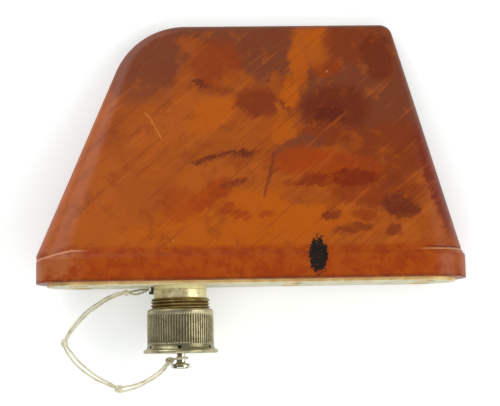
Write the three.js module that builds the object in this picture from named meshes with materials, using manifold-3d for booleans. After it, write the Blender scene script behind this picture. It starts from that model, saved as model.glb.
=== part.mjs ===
// Blade antenna: a hollow fibreglass fin on a metal plate, with a threaded coaxial connector, a screw-on
// dust cap and a doubled cord that keeps the cap. Millimetres. The origin is the centre of the plate's
// underside, +Z points to the fin's tip and +X to its trailing edge.

import * as THREE from 'three';
import { mergeVertices } from 'three/addons/utils/BufferGeometryUtils.js';
import Module from 'manifold-3d';

const wasm = await Module();
wasm.setup();

// Clearances
const GAP = 0.3; // between two pieces that touch
const THREAD_GAP = 0.15; // between the neck's thread and the cap's

// Foot and fin
const FOOT_LENGTH = 130.8;
const FOOT_WIDTH = 26;
const PLATE_PROUD = 1; // how far the plate stands out below the foot
const SKIRT_HEIGHT = 6.5; // straight side of the foot
const SHOULDER_HEIGHT = 0.8; // convex step above the skirt
const FILLET_HEIGHT = 3.2; // concave step from the shoulder into the fin
const FIN_BASE = 10; // height at which the fin's outline is given
const FIN_TIP = 81.3;
const LEAD_STEP = 0.2; // from the foot's end to the leading edge
const TRAIL_STEP = 1.1; // from the foot's end to the trailing edge
const LEAD_RAKE = 22.8; // degrees from upright
const TRAIL_RAKE = 15.4;
const LEAD_CORNER = 23.3; // radius
const TRAIL_CORNER = 4.2;
const BASE_THICKNESS = 23.5;
const TIP_THICKNESS = 5;
const WALL = 2;

// Base plate and what closes the foot
const FOOT_WALL = 3;
const PLATE_THICKNESS = 4;
const GASKET_THICKNESS = 0.6;
const LEDGE_WIDTH = 2; // shelf in the foot that the gasket seals against
const LEDGE_THICKNESS = 3;
const SCREW_RADIUS = 1.5;
const SCREW_HEAD_RADIUS = 2.8;
const SCREW_HEAD_HEIGHT = 1.4;
const SCREW_LENGTH = 11.3;
const SCREW_SUNK = 0.2; // head below the underside
const SCREW_SIDE = 5; // from the centre line
const SCREW_END = 13.4; // from the foot's end
const MIDDLE_SCREW_X = 12;
const INSERT_WALL = 0.8;
const INSERT_TOP = 12;

// Connector
const CONNECTOR_X = -21.9;
const NECK_RADIUS = 8.05;
const NECK_LENGTH = 3.9; // from the plate to the thread
const NECK_SEAL_THICKNESS = 0.9; // gasket that shows between the plate and the neck
const THREAD_RADIUS = 9;
const THREAD_DEPTH = 0.61;
const THREAD_PITCH = 1;
const THREAD_LENGTH = 9.6;
const THREAD_CHAMFER = 0.6;
const NOSE_LENGTH = 2; // plain part below the thread
const SOCKET_RADIUS = 6.5;
const SOCKET_DEPTH = 12.5;
const SPIGOT_RADIUS = 6;
const SPIGOT_BORE = 4;
const NUT_FLATS = 15;
const NUT_HEIGHT = 3;
const WASHER_THICKNESS = 0.8;
const SPIGOT_PROUD = 1; // spigot above the nut
const CONTACT_RADIUS = 1.5;
const CONTACT_RECESS = 3.5; // contact's tip inside the mouth
const CONTACT_OVERLAP = 2.8; // contact inside the feed block
const INSULATOR_FLANGE = 1.5;
const SEAL_THICKNESS = 0.8;

// Radiator and its fastenings
const RADIATOR_THICKNESS = 1;
const RADIATOR_INSET = 8; // from the fin's outline
const RADIATOR_BOTTOM = 14.5;
const FEED_LENGTH = 10;
const FEED_WIDTH = 6;
const FEED_TOP = 20;
const FEED_RIVET_SIDE = 2.8;
const RIVET_RADIUS = 1;
const RIVET_HEAD_RADIUS = 1.8;
const RIVET_HEAD_HEIGHT = 0.8;
const STRAP_X = 30;
const STRAP_WIDTH = 8;
const STRAP_THICKNESS = 1;
const STRAP_FOOT = 6.4;
const STRAP_TOP = 24;
const STRAP_SCREW_RADIUS = 1.1;
const STRAP_SCREW_HEAD = 2.2; // radius
const STRAP_SCREW_HEAD_HEIGHT = 1.4;
const STRAP_SCREW_DEPTH = 2.4; // into the plate

// Dust cap
const CAP_WALL = 1.05; // from the thread's crest to the cap's outside
const CAP_START = 7.1; // cap's open end below the plate
const CAP_BODY_LENGTH = 10.5; // down to the flare
const CAP_FLARE_LENGTH = 1.5;
const CAP_RIM_LENGTH = 1.2;
const RIM_OVERHANG = 1.2;
const CAP_END_WALL = 2;
const CAP_CHAMFER = 0.4;
const FLUTES = 76;
const FLUTE_DEPTH = 0.3;
const CREST_SUNK = 0.05; // crests of the flutes below the smooth bands
const FLUTE_TOP_BAND = 1.5;
const FLUTE_BOTTOM_BAND = 0.7;
const CAP_THREAD_LENGTH = 6.4;
const WIRE_HOLES = 6;
const WIRE_HOLE_RADIUS = 0.5;
const WIRE_HOLE_DEPTH = 1.2;
const POST_RADIUS = 1.35;
const POST_LENGTH = 3; // between cap and head
const POST_HEAD_RADIUS = 3;
const POST_HEAD_HEIGHT = 1.7;
const POST_RIVET_RADIUS = 2.4;
const POST_RIVET_HEIGHT = 0.8;

// Cord that keeps the cap
const ANCHOR_X = -30.5;
const ANCHOR_Y = 4.5;
const ANCHOR_RADIUS = 0.6;
const ANCHOR_HEAD_RADIUS = 1.2;
const ANCHOR_HEAD_HEIGHT = 0.9;
const ANCHOR_DEPTH = 3; // into the plate
const CORD_RADIUS = 0.325;
const CORD_SIDES = 8;
const CORD_STEP = 1.95;
const STRAND_OFFSET = 0.5; // each strand from the middle of the pair
const KNOT_RADIUS = 1.05;
const KNOT_A = [-38.2, 0.3, -1.75];
const KNOT_B = [-57.3, 3, -16.6];
const KNOT_C = [-40.9, 3.5, -30.7];
const KNOT_D = [-25.3, 0, -22.5];
const ANCHOR_TIE = [-31.8, 4, -0.65];
const SPAN_ANCHOR_A = [[-34, 2.9, -0.8], [-36.2, 1.5, -1.3]];
const SPAN_A_B = [
  [-40.4, 0.5, -2.1], [-43.9, 1, -3.4], [-47.4, 1.5, -5.5], [-50.9, 2, -8], [-53.7, 2.4, -11],
  [-55.7, 2.7, -13.5], [-56.8, 2.9, -15.4],
];
const SPAN_B_C = [
  [-56.5, 3.3, -18.5], [-55.2, 3.6, -20.4], [-53.6, 3.9, -22.5], [-50.8, 4.1, -25], [-47.4, 4, -27.4],
  [-44.1, 3.8, -29],
];
const SPAN_C_D = [[-39.3, 3.4, -30.7], [-35.8, 2.8, -29.9], [-32.4, 2, -28.5], [-28, 0.8, -25.7]];
const POST_LOOP = [
  [-23.8, 0.95, -22], [-23.1, 1.55, -21.85], [-21.9, 1.98, -21.75], [-20.5, 1.4, -21.7],
  [-19.92, 0, -21.7], [-20.5, -1.4, -21.7], [-21.9, -1.98, -21.75], [-23.1, -1.55, -21.85],
  [-23.8, -0.95, -22],
];

// Heights that follow from the sizes
const SKIRT_TOP = PLATE_PROUD + SKIRT_HEIGHT;
const SHOULDER_TOP = SKIRT_TOP + SHOULDER_HEIGHT;
const FILLET_TOP = SHOULDER_TOP + FILLET_HEIGHT;
const GASKET_TOP = PLATE_THICKNESS + GAP + GASKET_THICKNESS;
const LEDGE_BOTTOM = GASKET_TOP + GAP;
const LEDGE_TOP = LEDGE_BOTTOM + LEDGE_THICKNESS;
const CORE_BOTTOM = PLATE_THICKNESS + 2 * GAP;
const WASHER_TOP = PLATE_THICKNESS + GAP + WASHER_THICKNESS;
const NUT_TOP = WASHER_TOP + GAP + NUT_HEIGHT;
const SPIGOT_TOP = NUT_TOP + SPIGOT_PROUD;
const FEED_BOTTOM = SPIGOT_TOP + 3 * GAP;
const CONTACT_TOP = FEED_BOTTOM + CONTACT_OVERLAP;
const SLOT_BOTTOM = RADIATOR_BOTTOM - GAP;
const FEED_RIVET_Z = (SLOT_BOTTOM + FEED_TOP) / 2;
const STRAP_RIVET_Z = FEED_TOP;
const MOUTH = -(NECK_LENGTH + THREAD_LENGTH + NOSE_LENGTH);
const NECK_TOP = -NECK_SEAL_THICKNESS - GAP;
const SOCKET_TOP = MOUTH + SOCKET_DEPTH;
const CAP_TOP = -CAP_START;
const CAP_BODY_END = CAP_TOP - CAP_BODY_LENGTH;
const CAP_BOTTOM = CAP_BODY_END - CAP_FLARE_LENGTH - CAP_RIM_LENGTH;
const CAP_FLOOR = CAP_BOTTOM + CAP_END_WALL;
const FOOT_REACH = FOOT_LENGTH / 2;
const FOOT_SIDE = FOOT_WIDTH / 2;
const PLATE_MARGIN = FOOT_WALL + GAP; // from the foot's outside to the plate
const HALF_RADIATOR = RADIATOR_THICKNESS / 2;

// Meshes and solids
const WELD = 1e-4;
const PAST = 1; // how far a cutter runs past the surface that it cuts

function welded(geometry) {
  const bare = geometry.clone();
  bare.deleteAttribute('normal');
  bare.deleteAttribute('uv');
  const mesh = mergeVertices(bare, WELD);
  const corners = mesh.index.array;
  const kept = [];
  for (let i = 0; i < corners.length; i += 3) {
    const [a, b, c] = corners.slice(i, i + 3);
    if (a !== b && b !== c && c !== a) kept.push(a, b, c);
  }
  mesh.setIndex(kept);
  return mesh;
}

function signedVolume(mesh) {
  const [a, b, c] = [new THREE.Vector3(), new THREE.Vector3(), new THREE.Vector3()];
  const { position } = mesh.attributes;
  let sum = 0;
  for (let i = 0; i < mesh.index.count; i += 3) {
    a.fromBufferAttribute(position, mesh.index.getX(i));
    b.fromBufferAttribute(position, mesh.index.getX(i + 1));
    c.fromBufferAttribute(position, mesh.index.getX(i + 2));
    sum += a.dot(b.cross(c)) / 6;
  }
  return sum;
}

function solid(geometry) {
  const mesh = welded(geometry);
  const triVerts = new Uint32Array(mesh.index.array);
  if (signedVolume(mesh) < 0) triVerts.reverse();
  const vertProperties = new Float32Array(mesh.attributes.position.array);
  return new wasm.Manifold(new wasm.Mesh({ numProp: 3, vertProperties, triVerts }));
}

function geometryOf(body) {
  const mesh = body.getMesh();
  const geometry = new THREE.BufferGeometry();
  geometry.setAttribute('position', new THREE.BufferAttribute(mesh.vertProperties, 3));
  geometry.setIndex(new THREE.BufferAttribute(mesh.triVerts, 1));
  geometry.computeVertexNormals();
  return geometry;
}

function join(first, ...others) {
  return others.reduce((body, other) => body.add(other), first);
}

function cut(first, ...others) {
  return others.reduce((body, other) => body.subtract(other), first);
}

// Shapes
function prism(shape, bottom, top, segments = 6) {
  const settings = { depth: top - bottom, bevelEnabled: false, curveSegments: segments };
  return solid(new THREE.ExtrudeGeometry(shape, settings).translate(0, 0, bottom));
}

function block(low, high) {
  const size = high.map((value, axis) => value - low[axis]);
  const middle = high.map((value, axis) => (value + low[axis]) / 2);
  return solid(new THREE.BoxGeometry(...size).translate(...middle));
}

// A profile of [radius, height] turned about an upright axis.
function turned(profile, x, y, sides = 16) {
  const points = profile.map(([r, z]) => new THREE.Vector2(r, z));
  if (profile[0][0] > 0) points.push(points[0].clone());
  return solid(new THREE.LatheGeometry(points, sides).rotateX(Math.PI / 2).translate(x, y, 0));
}

function cylinder(radius, bottom, top, x, y, sides) {
  return turned([[0, bottom], [radius, bottom], [radius, top], [0, top]], x, y, sides);
}

function ring(inner, outer, bottom, top, x, y, sides) {
  return turned([[inner, bottom], [outer, bottom], [outer, top], [inner, top]], x, y, sides);
}

// A profile of [radius, y] turned about an axis along Y.
function turnedAcross(profile, x, z, sides = 12) {
  const points = profile.map(([r, y]) => new THREE.Vector2(r, y));
  return solid(new THREE.LatheGeometry(points, sides).translate(x, 0, z));
}

// Round-ended outline of the foot, drawn in by a margin.
function footOutline(margin) {
  const radius = FOOT_SIDE - margin;
  const middle = FOOT_REACH - FOOT_SIDE;
  const shape = new THREE.Shape();
  shape.absarc(middle, 0, radius, -Math.PI / 2, Math.PI / 2);
  shape.absarc(-middle, 0, radius, Math.PI / 2, 1.5 * Math.PI);
  shape.closePath();
  return shape;
}

// The fin's raked edges: a straight line up from the foot, then a round corner into the level tip.
function rakedEdge(side, rake, step, corner) {
  const angle = THREE.MathUtils.degToRad(rake);
  const normal = { x: side * Math.cos(angle), z: Math.sin(angle) };
  const foot = { x: side * (FOOT_REACH - step), z: FIN_BASE };
  const middleZ = FIN_TIP - corner;
  const middleX = foot.x - (corner + (middleZ - foot.z) * normal.z) / normal.x;
  return { side, angle, normal, foot, corner, middle: { x: middleX, z: middleZ } };
}

const LEADING = rakedEdge(-1, LEAD_RAKE, LEAD_STEP, LEAD_CORNER);
const TRAILING = rakedEdge(1, TRAIL_RAKE, TRAIL_STEP, TRAIL_CORNER);

// X of an edge at a height, drawn in by an inset.
function edgeX(edge, z, inset) {
  const radius = Math.max(edge.corner - inset, 0);
  const above = z - edge.middle.z;
  if (above > radius * edge.normal.z && radius > 0) {
    return edge.middle.x + edge.side * Math.sqrt(Math.max(radius * radius - above * above, 0));
  }
  return edge.foot.x - ((z - edge.foot.z) * edge.normal.z + inset) / edge.normal.x;
}

// How deep a point of the side view lies inside the fin's outline.
function depthInside(x, z) {
  let depth = FIN_TIP - z;
  for (const { side, normal, foot, corner, middle } of [LEADING, TRAILING]) {
    const toFoot = (foot.x - x) * normal.x + (foot.z - z) * normal.z;
    const [dx, dz] = [x - middle.x, z - middle.z];
    const pastLine = dz * Math.abs(normal.x) - side * dx * normal.z > 0;
    const inCorner = side * dx > 0 && pastLine;
    depth = Math.min(depth, inCorner ? corner - Math.hypot(dx, dz) : toFoot);
  }
  return depth;
}

function halfThickness(z) {
  const share = (z - FIN_BASE) / (FIN_TIP - FIN_BASE);
  return (BASE_THICKNESS + (TIP_THICKNESS - BASE_THICKNESS) * share) / 2;
}

// Height of a unit circle over its centre line.
function arch(x) {
  return Math.sqrt(Math.max(1 - x * x, 0));
}

// 1 on the foot's skirt, 0 on the fin, with a convex and then a concave step between.
function footShare(z) {
  if (z <= SKIRT_TOP) return 1;
  if (z <= SHOULDER_TOP) return 0.5 + 0.5 * arch((z - SKIRT_TOP) / SHOULDER_HEIGHT);
  if (z >= FILLET_TOP) return 0;
  return 0.5 - 0.5 * arch((FILLET_TOP - z) / FILLET_HEIGHT);
}

// One level row of the fin's surface, from the leading edge to the trailing edge, as [x, half width].
function finRow(z, inset, share) {
  const END_COLUMNS = 6;
  const { lerp } = THREE.MathUtils;
  const left = Math.max(lerp(edgeX(LEADING, z, inset), -FOOT_REACH, share), -FOOT_REACH);
  const right = Math.min(lerp(edgeX(TRAILING, z, inset), FOOT_REACH, share), FOOT_REACH);
  const radius = lerp(halfThickness(z) - inset, FOOT_SIDE, share);
  const leftSlope = lerp(Math.cos(LEADING.angle), 1, share);
  const rightSlope = lerp(Math.cos(TRAILING.angle), 1, share);
  const depth = (x) => {
    if (share === 0) return depthInside(x, z) - inset;
    return Math.min((x - left) * leftSlope, (right - x) * rightSlope);
  };
  const middle = (left + right) / 2;
  const full = Math.min(radius, depth(middle)) * (1 - 1e-6);
  const fullFrom = (end) => {
    let [outside, inside] = [end, middle];
    for (let i = 0; i < 40; i++) {
      const x = (outside + inside) / 2;
      if (depth(x) < full) outside = x;
      else inside = x;
    }
    return inside;
  };
  const row = [];
  for (const end of [left, right]) {
    const rounding = fullFrom(end) - end;
    const half = [];
    for (let i = 0; i <= END_COLUMNS; i++) {
      const x = end + rounding * (1 - Math.cos((i / END_COLUMNS) * (Math.PI / 2)));
      const d = THREE.MathUtils.clamp(depth(x), 0, radius);
      half.push([x, i === 0 || radius <= 0 ? 0 : radius * arch(1 - d / radius)]);
    }
    row.push(...(end === left ? half : half.reverse()));
  }
  return row;
}

// The fin's closed surface from a level bottom to the tip, drawn in by an inset.
function fin(inset, bottom, withFoot) {
  const ARC_ROWS = 5;
  const TIP_ROWS = 4;
  const top = FIN_TIP - inset;
  const tipRadius = TIP_THICKNESS / 2 - inset;
  const heights = [bottom, top];
  for (let i = 0; i < ARC_ROWS; i++) {
    const angle = LEADING.angle + (i / ARC_ROWS) * (Math.PI / 2 - LEADING.angle);
    heights.push(LEADING.middle.z + (LEADING.corner - inset) * Math.sin(angle));
  }
  for (let i = 1; i <= TIP_ROWS; i++) {
    heights.push(top - tipRadius * (1 - Math.cos((i / TIP_ROWS) * (Math.PI / 2))));
  }
  if (withFoot) {
    const fillet = [0, 0.15, 0.4, 1].map((share) => SHOULDER_TOP + share * FILLET_HEIGHT);
    heights.push(SKIRT_TOP, SKIRT_TOP + 0.6 * SHOULDER_HEIGHT, ...fillet);
  }
  heights.sort((a, b) => a - b);
  const rows = heights.map((z) => finRow(z, inset, withFoot ? footShare(z) : 0));
  const corners = [];
  const point = (i, j, side) => [rows[i][j][0], side * rows[i][j][1], heights[i]];
  const quad = (a, b, c, d) => corners.push(...a, ...b, ...c, ...a, ...c, ...d);
  for (let j = 0; j + 1 < rows[0].length; j++) {
    for (let i = 0; i + 1 < rows.length; i++) {
      quad(point(i, j, -1), point(i, j + 1, -1), point(i + 1, j + 1, -1), point(i + 1, j, -1));
      quad(point(i, j + 1, 1), point(i, j, 1), point(i + 1, j, 1), point(i + 1, j + 1, 1));
    }
    quad(point(0, j + 1, -1), point(0, j, -1), point(0, j, 1), point(0, j + 1, 1));
  }
  const geometry = new THREE.BufferGeometry();
  geometry.setAttribute('position', new THREE.Float32BufferAttribute(corners, 3));
  return solid(geometry);
}

// The side view of the fin as a flat outline, drawn in by an inset and cut level at the bottom.
function finOutline(inset, bottom) {
  const top = FIN_TIP - inset;
  const radius = LEADING.corner - inset;
  const left = [[edgeX(LEADING, bottom, inset), bottom]];
  for (let i = 0; i <= 6; i++) {
    const angle = LEADING.angle + (i / 6) * (Math.PI / 2 - LEADING.angle);
    left.push([LEADING.middle.x - radius * Math.cos(angle), LEADING.middle.z + radius * Math.sin(angle)]);
  }
  const right = [[edgeX(TRAILING, top, inset), top], [edgeX(TRAILING, bottom, inset), bottom]];
  return new THREE.Shape([...left, ...right].map(([x, z]) => new THREE.Vector2(x, z)));
}

// A threaded rod: a helicoid whose lines run half a pitch apart, on the crest and in the root in turn.
// Every rod starts at the same height and angle, so rods of two sizes mesh.
function threadedRod(grow) {
  const SIDES = 32;
  const start = MOUTH - 2 * THREAD_PITCH;
  const lines = Math.ceil((2 * (THREAD_LENGTH + NOSE_LENGTH)) / THREAD_PITCH) + 8;
  const corners = [];
  const place = (line, step) => {
    if (step === SIDES) return place(line + 2, 0);
    const angle = (2 * Math.PI * step) / SIDES;
    const radius = THREAD_RADIUS + grow - (line % 2 ? THREAD_DEPTH : 0);
    const height = start + THREAD_PITCH * (line / 2 + step / SIDES);
    return [CONNECTOR_X + radius * Math.cos(angle), radius * Math.sin(angle), height];
  };
  for (let line = 0; line < lines; line++) {
    for (let step = 0; step < SIDES; step++) {
      const [a, b] = [place(line, step), place(line, step + 1)];
      const [c, d] = [place(line + 1, step + 1), place(line + 1, step)];
      corners.push(...a, ...b, ...c, ...a, ...c, ...d);
    }
  }
  const fan = (line, centre, up) => {
    const rim = [];
    for (let step = 0; step <= SIDES; step++) rim.push(place(line, step));
    rim.push(place(line + 1, 0), rim[0]);
    for (let i = 0; i + 1 < rim.length; i++) {
      const [from, to] = up ? [rim[i], rim[i + 1]] : [rim[i + 1], rim[i]];
      corners.push(...centre, ...from, ...to);
    }
  };
  fan(0, [CONNECTOR_X, 0, start], false);
  fan(lines, [CONNECTOR_X, 0, start + (THREAD_PITCH * (lines + 2)) / 2], true);
  const geometry = new THREE.BufferGeometry();
  geometry.setAttribute('position', new THREE.Float32BufferAttribute(corners, 3));
  return solid(geometry);
}

// Places that repeat
const SCREW_PLACES = [];
for (const x of [-(FOOT_REACH - SCREW_END), MIDDLE_SCREW_X, FOOT_REACH - SCREW_END]) {
  SCREW_PLACES.push([x, -SCREW_SIDE], [x, SCREW_SIDE]);
}
const FEED_RIVET_PLACES = [CONNECTOR_X - FEED_RIVET_SIDE, CONNECTOR_X + FEED_RIVET_SIDE];

// The assembly
const antenna = new THREE.Group();

function add(name, body, color, roughness, metalness) {
  const geometry = body.isBufferGeometry ? body : geometryOf(body);
  const material = new THREE.MeshStandardMaterial({ color, roughness, metalness });
  const mesh = new THREE.Mesh(geometry, material);
  mesh.name = name;
  antenna.add(mesh);
}

const PAINT = 0xb0561e;
const BRASS = 0xc9ab62;
const NICKEL = 0x9c9384;
const STEEL = 0xb9b7b0;
const DARK = 0x3b372f;
const RUBBER = 0x2a2826;
const FOAM = 0xd9cfae;
const COPPER = 0xc07a4a;
const CORD = 0xd8d6b6;

function radomeShell() {
  const recess = prism(footOutline(FOOT_WALL), -PAST, LEDGE_BOTTOM);
  const opening = prism(footOutline(FOOT_WALL + LEDGE_WIDTH), LEDGE_BOTTOM - PAST, LEDGE_TOP + PAST);
  return cut(fin(0, PLATE_PROUD, true), fin(WALL, LEDGE_TOP, false), opening, recess);
}

function foamCore() {
  const inset = WALL + GAP;
  const plug = prism(footOutline(FOOT_WALL + LEDGE_WIDTH + GAP), CORE_BOTTOM, LEDGE_TOP + PAST);
  const slab = HALF_RADIATOR + GAP;
  const far = 2 * FOOT_REACH;
  const head = RIVET_HEAD_HEIGHT + 2 * GAP;
  const feedSide = FEED_LENGTH / 2 + GAP;
  const strapSide = STRAP_WIDTH / 2 + GAP;
  const core = cut(
    join(fin(inset, LEDGE_TOP + GAP, false), plug),
    cylinder(NUT_FLATS / Math.sqrt(3) + GAP, 0, SPIGOT_TOP + GAP, CONNECTOR_X, 0),
    block(
      [CONNECTOR_X - feedSide, -FEED_WIDTH / 2 - head, SPIGOT_TOP],
      [CONNECTOR_X + feedSide, FEED_WIDTH / 2 + head, FEED_TOP + GAP],
    ),
    block(
      [STRAP_X - strapSide, -slab - head, 0],
      [STRAP_X + strapSide, STRAP_FOOT + slab + GAP, STRAP_TOP + GAP],
    ),
    ...SCREW_PLACES.map(([x, y]) => cylinder(insertRadius() + GAP, 0, INSERT_TOP + GAP, x, y, 12)),
  );
  return {
    front: cut(core, block([-far, -slab, -PAST], [far, FOOT_WIDTH, FIN_TIP])),
    rear: cut(core, block([-far, -FOOT_WIDTH, -PAST], [far, slab, FIN_TIP])),
  };
}

function insertRadius() {
  return SCREW_RADIUS + GAP + INSERT_WALL;
}

function screwProfile(grow, bottom, length) {
  const shank = SCREW_RADIUS + grow;
  const head = SCREW_HEAD_RADIUS + grow;
  const neck = SCREW_SUNK + SCREW_HEAD_HEIGHT;
  return [[0, bottom], [head, bottom], [head, SCREW_SUNK], [shank, neck], [shank, length], [0, length]];
}

function basePlate() {
  const gap = (radius) => radius + GAP;
  return cut(
    prism(footOutline(PLATE_MARGIN), 0, PLATE_THICKNESS, 8),
    cylinder(gap(SPIGOT_RADIUS), -PAST, PLATE_THICKNESS + PAST, CONNECTOR_X, 0, 36),
    cylinder(gap(NECK_RADIUS), -PAST, GAP, CONNECTOR_X, 0, 36),
    cylinder(gap(STRAP_SCREW_RADIUS), PLATE_THICKNESS - STRAP_SCREW_DEPTH - GAP, PLATE_THICKNESS + PAST,
      STRAP_X, strapScrewY(), 12),
    cylinder(gap(ANCHOR_RADIUS), -PAST, ANCHOR_DEPTH + GAP, ANCHOR_X, ANCHOR_Y, 12),
    ...SCREW_PLACES.map(([x, y]) => turned(screwProfile(GAP, -PAST, PLATE_THICKNESS + PAST), x, y)),
  );
}

function baseGasket() {
  const hole = prism(footOutline(FOOT_WALL + LEDGE_WIDTH), 0, LEDGE_TOP);
  return cut(prism(footOutline(PLATE_MARGIN), PLATE_THICKNESS + GAP, GASKET_TOP), hole);
}

function connectorBody() {
  const threadTop = -NECK_LENGTH;
  const threadEnd = threadTop - THREAD_LENGTH;
  const full = THREAD_RADIUS + GAP;
  const low = full - THREAD_CHAMFER - GAP;
  const envelope = turned([
    [0, threadEnd], [low, threadEnd], [full, threadEnd + THREAD_CHAMFER],
    [full, threadTop - THREAD_CHAMFER], [low, threadTop], [0, threadTop],
  ], CONNECTOR_X, 0, 36);
  return cut(
    join(
      cylinder(NECK_RADIUS, MOUTH, NECK_TOP, CONNECTOR_X, 0, 36),
      threadedRod(0).intersect(envelope),
      cylinder(SPIGOT_RADIUS, NECK_TOP - PAST, SPIGOT_TOP, CONNECTOR_X, 0, 36),
    ),
    cylinder(SOCKET_RADIUS, MOUTH - PAST, SOCKET_TOP, CONNECTOR_X, 0, 36),
    cylinder(SPIGOT_BORE, SOCKET_TOP - PAST, SPIGOT_TOP + PAST, CONNECTOR_X, 0, 24),
  );
}

// Lies in the plate's shallow pocket and shows as a dark band above the neck.
function neckSeal() {
  return ring(SPIGOT_RADIUS + GAP, NECK_RADIUS, NECK_TOP + GAP, 0, CONNECTOR_X, 0, 36);
}

function lockWasher() {
  return ring(SPIGOT_RADIUS + GAP, NUT_FLATS / 2, PLATE_THICKNESS + GAP, WASHER_TOP, CONNECTOR_X, 0, 24);
}

function connectorNut() {
  const corners = [];
  for (let i = 0; i < 6; i++) {
    const angle = (i * Math.PI) / 3;
    const radius = NUT_FLATS / Math.sqrt(3);
    corners.push(new THREE.Vector2(CONNECTOR_X + radius * Math.cos(angle), radius * Math.sin(angle)));
  }
  const bore = cylinder(SPIGOT_RADIUS + GAP, 0, NUT_TOP + PAST, CONNECTOR_X, 0, 24);
  return cut(prism(new THREE.Shape(corners), WASHER_TOP + GAP, NUT_TOP), bore);
}

function connectorInsulator() {
  const flange = SOCKET_RADIUS - GAP;
  const stem = SPIGOT_BORE - GAP;
  const hole = CONTACT_RADIUS + GAP;
  const top = SOCKET_TOP - GAP;
  return turned([
    [hole, top - INSULATOR_FLANGE], [flange, top - INSULATOR_FLANGE], [flange, top], [stem, top],
    [stem, SPIGOT_TOP], [hole, SPIGOT_TOP],
  ], CONNECTOR_X, 0, 24);
}

function centreContact() {
  const tip = MOUTH + CONTACT_RECESS;
  const taper = CONTACT_RADIUS / 2;
  return turned([
    [0, tip], [taper, tip], [CONTACT_RADIUS, tip + taper], [CONTACT_RADIUS, CONTACT_TOP], [0, CONTACT_TOP],
  ], CONNECTOR_X, 0, 12);
}

function socketSeal() {
  const top = SOCKET_TOP - 2 * GAP - INSULATOR_FLANGE;
  const outer = SOCKET_RADIUS - GAP;
  return ring(outer - 2 * SEAL_THICKNESS, outer, top - SEAL_THICKNESS, top, CONNECTOR_X, 0, 24);
}

function radiatorPlate() {
  const side = finOutline(RADIATOR_INSET, RADIATOR_BOTTOM);
  const sheet = new THREE.ExtrudeGeometry(side, { depth: RADIATOR_THICKNESS, bevelEnabled: false });
  sheet.rotateX(Math.PI / 2).translate(0, HALF_RADIATOR, 0);
  const hole = [[0, -PAST], [RIVET_RADIUS + GAP, -PAST], [RIVET_RADIUS + GAP, PAST], [0, PAST]];
  return cut(
    solid(sheet),
    ...FEED_RIVET_PLACES.map((x) => turnedAcross(hole, x, FEED_RIVET_Z)),
    turnedAcross(hole, STRAP_X, STRAP_RIVET_Z),
  );
}

function feedBlock() {
  const [sideX, sideY] = [FEED_LENGTH / 2, FEED_WIDTH / 2];
  const slot = HALF_RADIATOR + GAP;
  const hole = RIVET_RADIUS + GAP;
  const across = [[0, -FEED_WIDTH], [hole, -FEED_WIDTH], [hole, FEED_WIDTH], [0, FEED_WIDTH]];
  return cut(
    block([CONNECTOR_X - sideX, -sideY, FEED_BOTTOM], [CONNECTOR_X + sideX, sideY, FEED_TOP]),
    block(
      [CONNECTOR_X - FEED_LENGTH, -slot, SLOT_BOTTOM],
      [CONNECTOR_X + FEED_LENGTH, slot, FEED_TOP + PAST],
    ),
    cylinder(CONTACT_RADIUS + GAP, FEED_BOTTOM - PAST, CONTACT_TOP + GAP, CONNECTOR_X, 0, 12),
    ...FEED_RIVET_PLACES.map((x) => turnedAcross(across, x, FEED_RIVET_Z)),
  );
}

// A rivet along Y whose heads lie on the faces at front and rear.
function rivet(front, rear, x, z) {
  const [head, shank] = [RIVET_HEAD_RADIUS, RIVET_RADIUS];
  return turnedAcross([
    [0, front - GAP - RIVET_HEAD_HEIGHT], [head / 2, front - GAP - RIVET_HEAD_HEIGHT], [head, front - GAP],
    [shank, front - GAP], [shank, rear + GAP], [head, rear + GAP],
    [head / 2, rear + GAP + RIVET_HEAD_HEIGHT], [0, rear + GAP + RIVET_HEAD_HEIGHT],
  ], x, z);
}

function strapScrewY() {
  return HALF_RADIATOR + GAP + STRAP_THICKNESS + (STRAP_FOOT - STRAP_THICKNESS) / 2;
}

function groundStrap() {
  const front = HALF_RADIATOR + GAP;
  const bottom = PLATE_THICKNESS + GAP;
  const [left, right] = [STRAP_X - STRAP_WIDTH / 2, STRAP_X + STRAP_WIDTH / 2];
  const hole = RIVET_RADIUS + GAP;
  return cut(
    join(
      block([left, front, bottom], [right, front + STRAP_THICKNESS, STRAP_TOP]),
      block([left, front, bottom], [right, front + STRAP_FOOT, bottom + STRAP_THICKNESS]),
    ),
    turnedAcross([[0, 0], [hole, 0], [hole, STRAP_FOOT], [0, STRAP_FOOT]], STRAP_X, STRAP_RIVET_Z),
    cylinder(STRAP_SCREW_RADIUS + GAP, PLATE_THICKNESS, bottom + STRAP_THICKNESS + PAST,
      STRAP_X, strapScrewY(), 12),
  );
}

function groundScrew() {
  const seat = PLATE_THICKNESS + 2 * GAP + STRAP_THICKNESS;
  const bottom = PLATE_THICKNESS - STRAP_SCREW_DEPTH;
  const top = seat + STRAP_SCREW_HEAD_HEIGHT;
  return turned([
    [0, bottom], [STRAP_SCREW_RADIUS, bottom], [STRAP_SCREW_RADIUS, seat], [STRAP_SCREW_HEAD, seat],
    [STRAP_SCREW_HEAD, top], [0, top],
  ], STRAP_X, strapScrewY(), 12);
}

function capRadius() {
  return THREAD_RADIUS + CAP_WALL;
}

// The fluted band of the cap: a star outline with one point to each flute.
function fluteBand() {
  const points = [];
  for (let i = 0; i < 2 * FLUTES; i++) {
    const angle = (i * Math.PI) / FLUTES;
    const radius = capRadius() - CREST_SUNK - (i % 2 ? FLUTE_DEPTH : 0);
    points.push(new THREE.Vector2(CONNECTOR_X + radius * Math.cos(angle), radius * Math.sin(angle)));
  }
  return prism(new THREE.Shape(points), CAP_BODY_END + FLUTE_BOTTOM_BAND / 2, CAP_TOP - FLUTE_TOP_BAND / 2);
}

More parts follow.
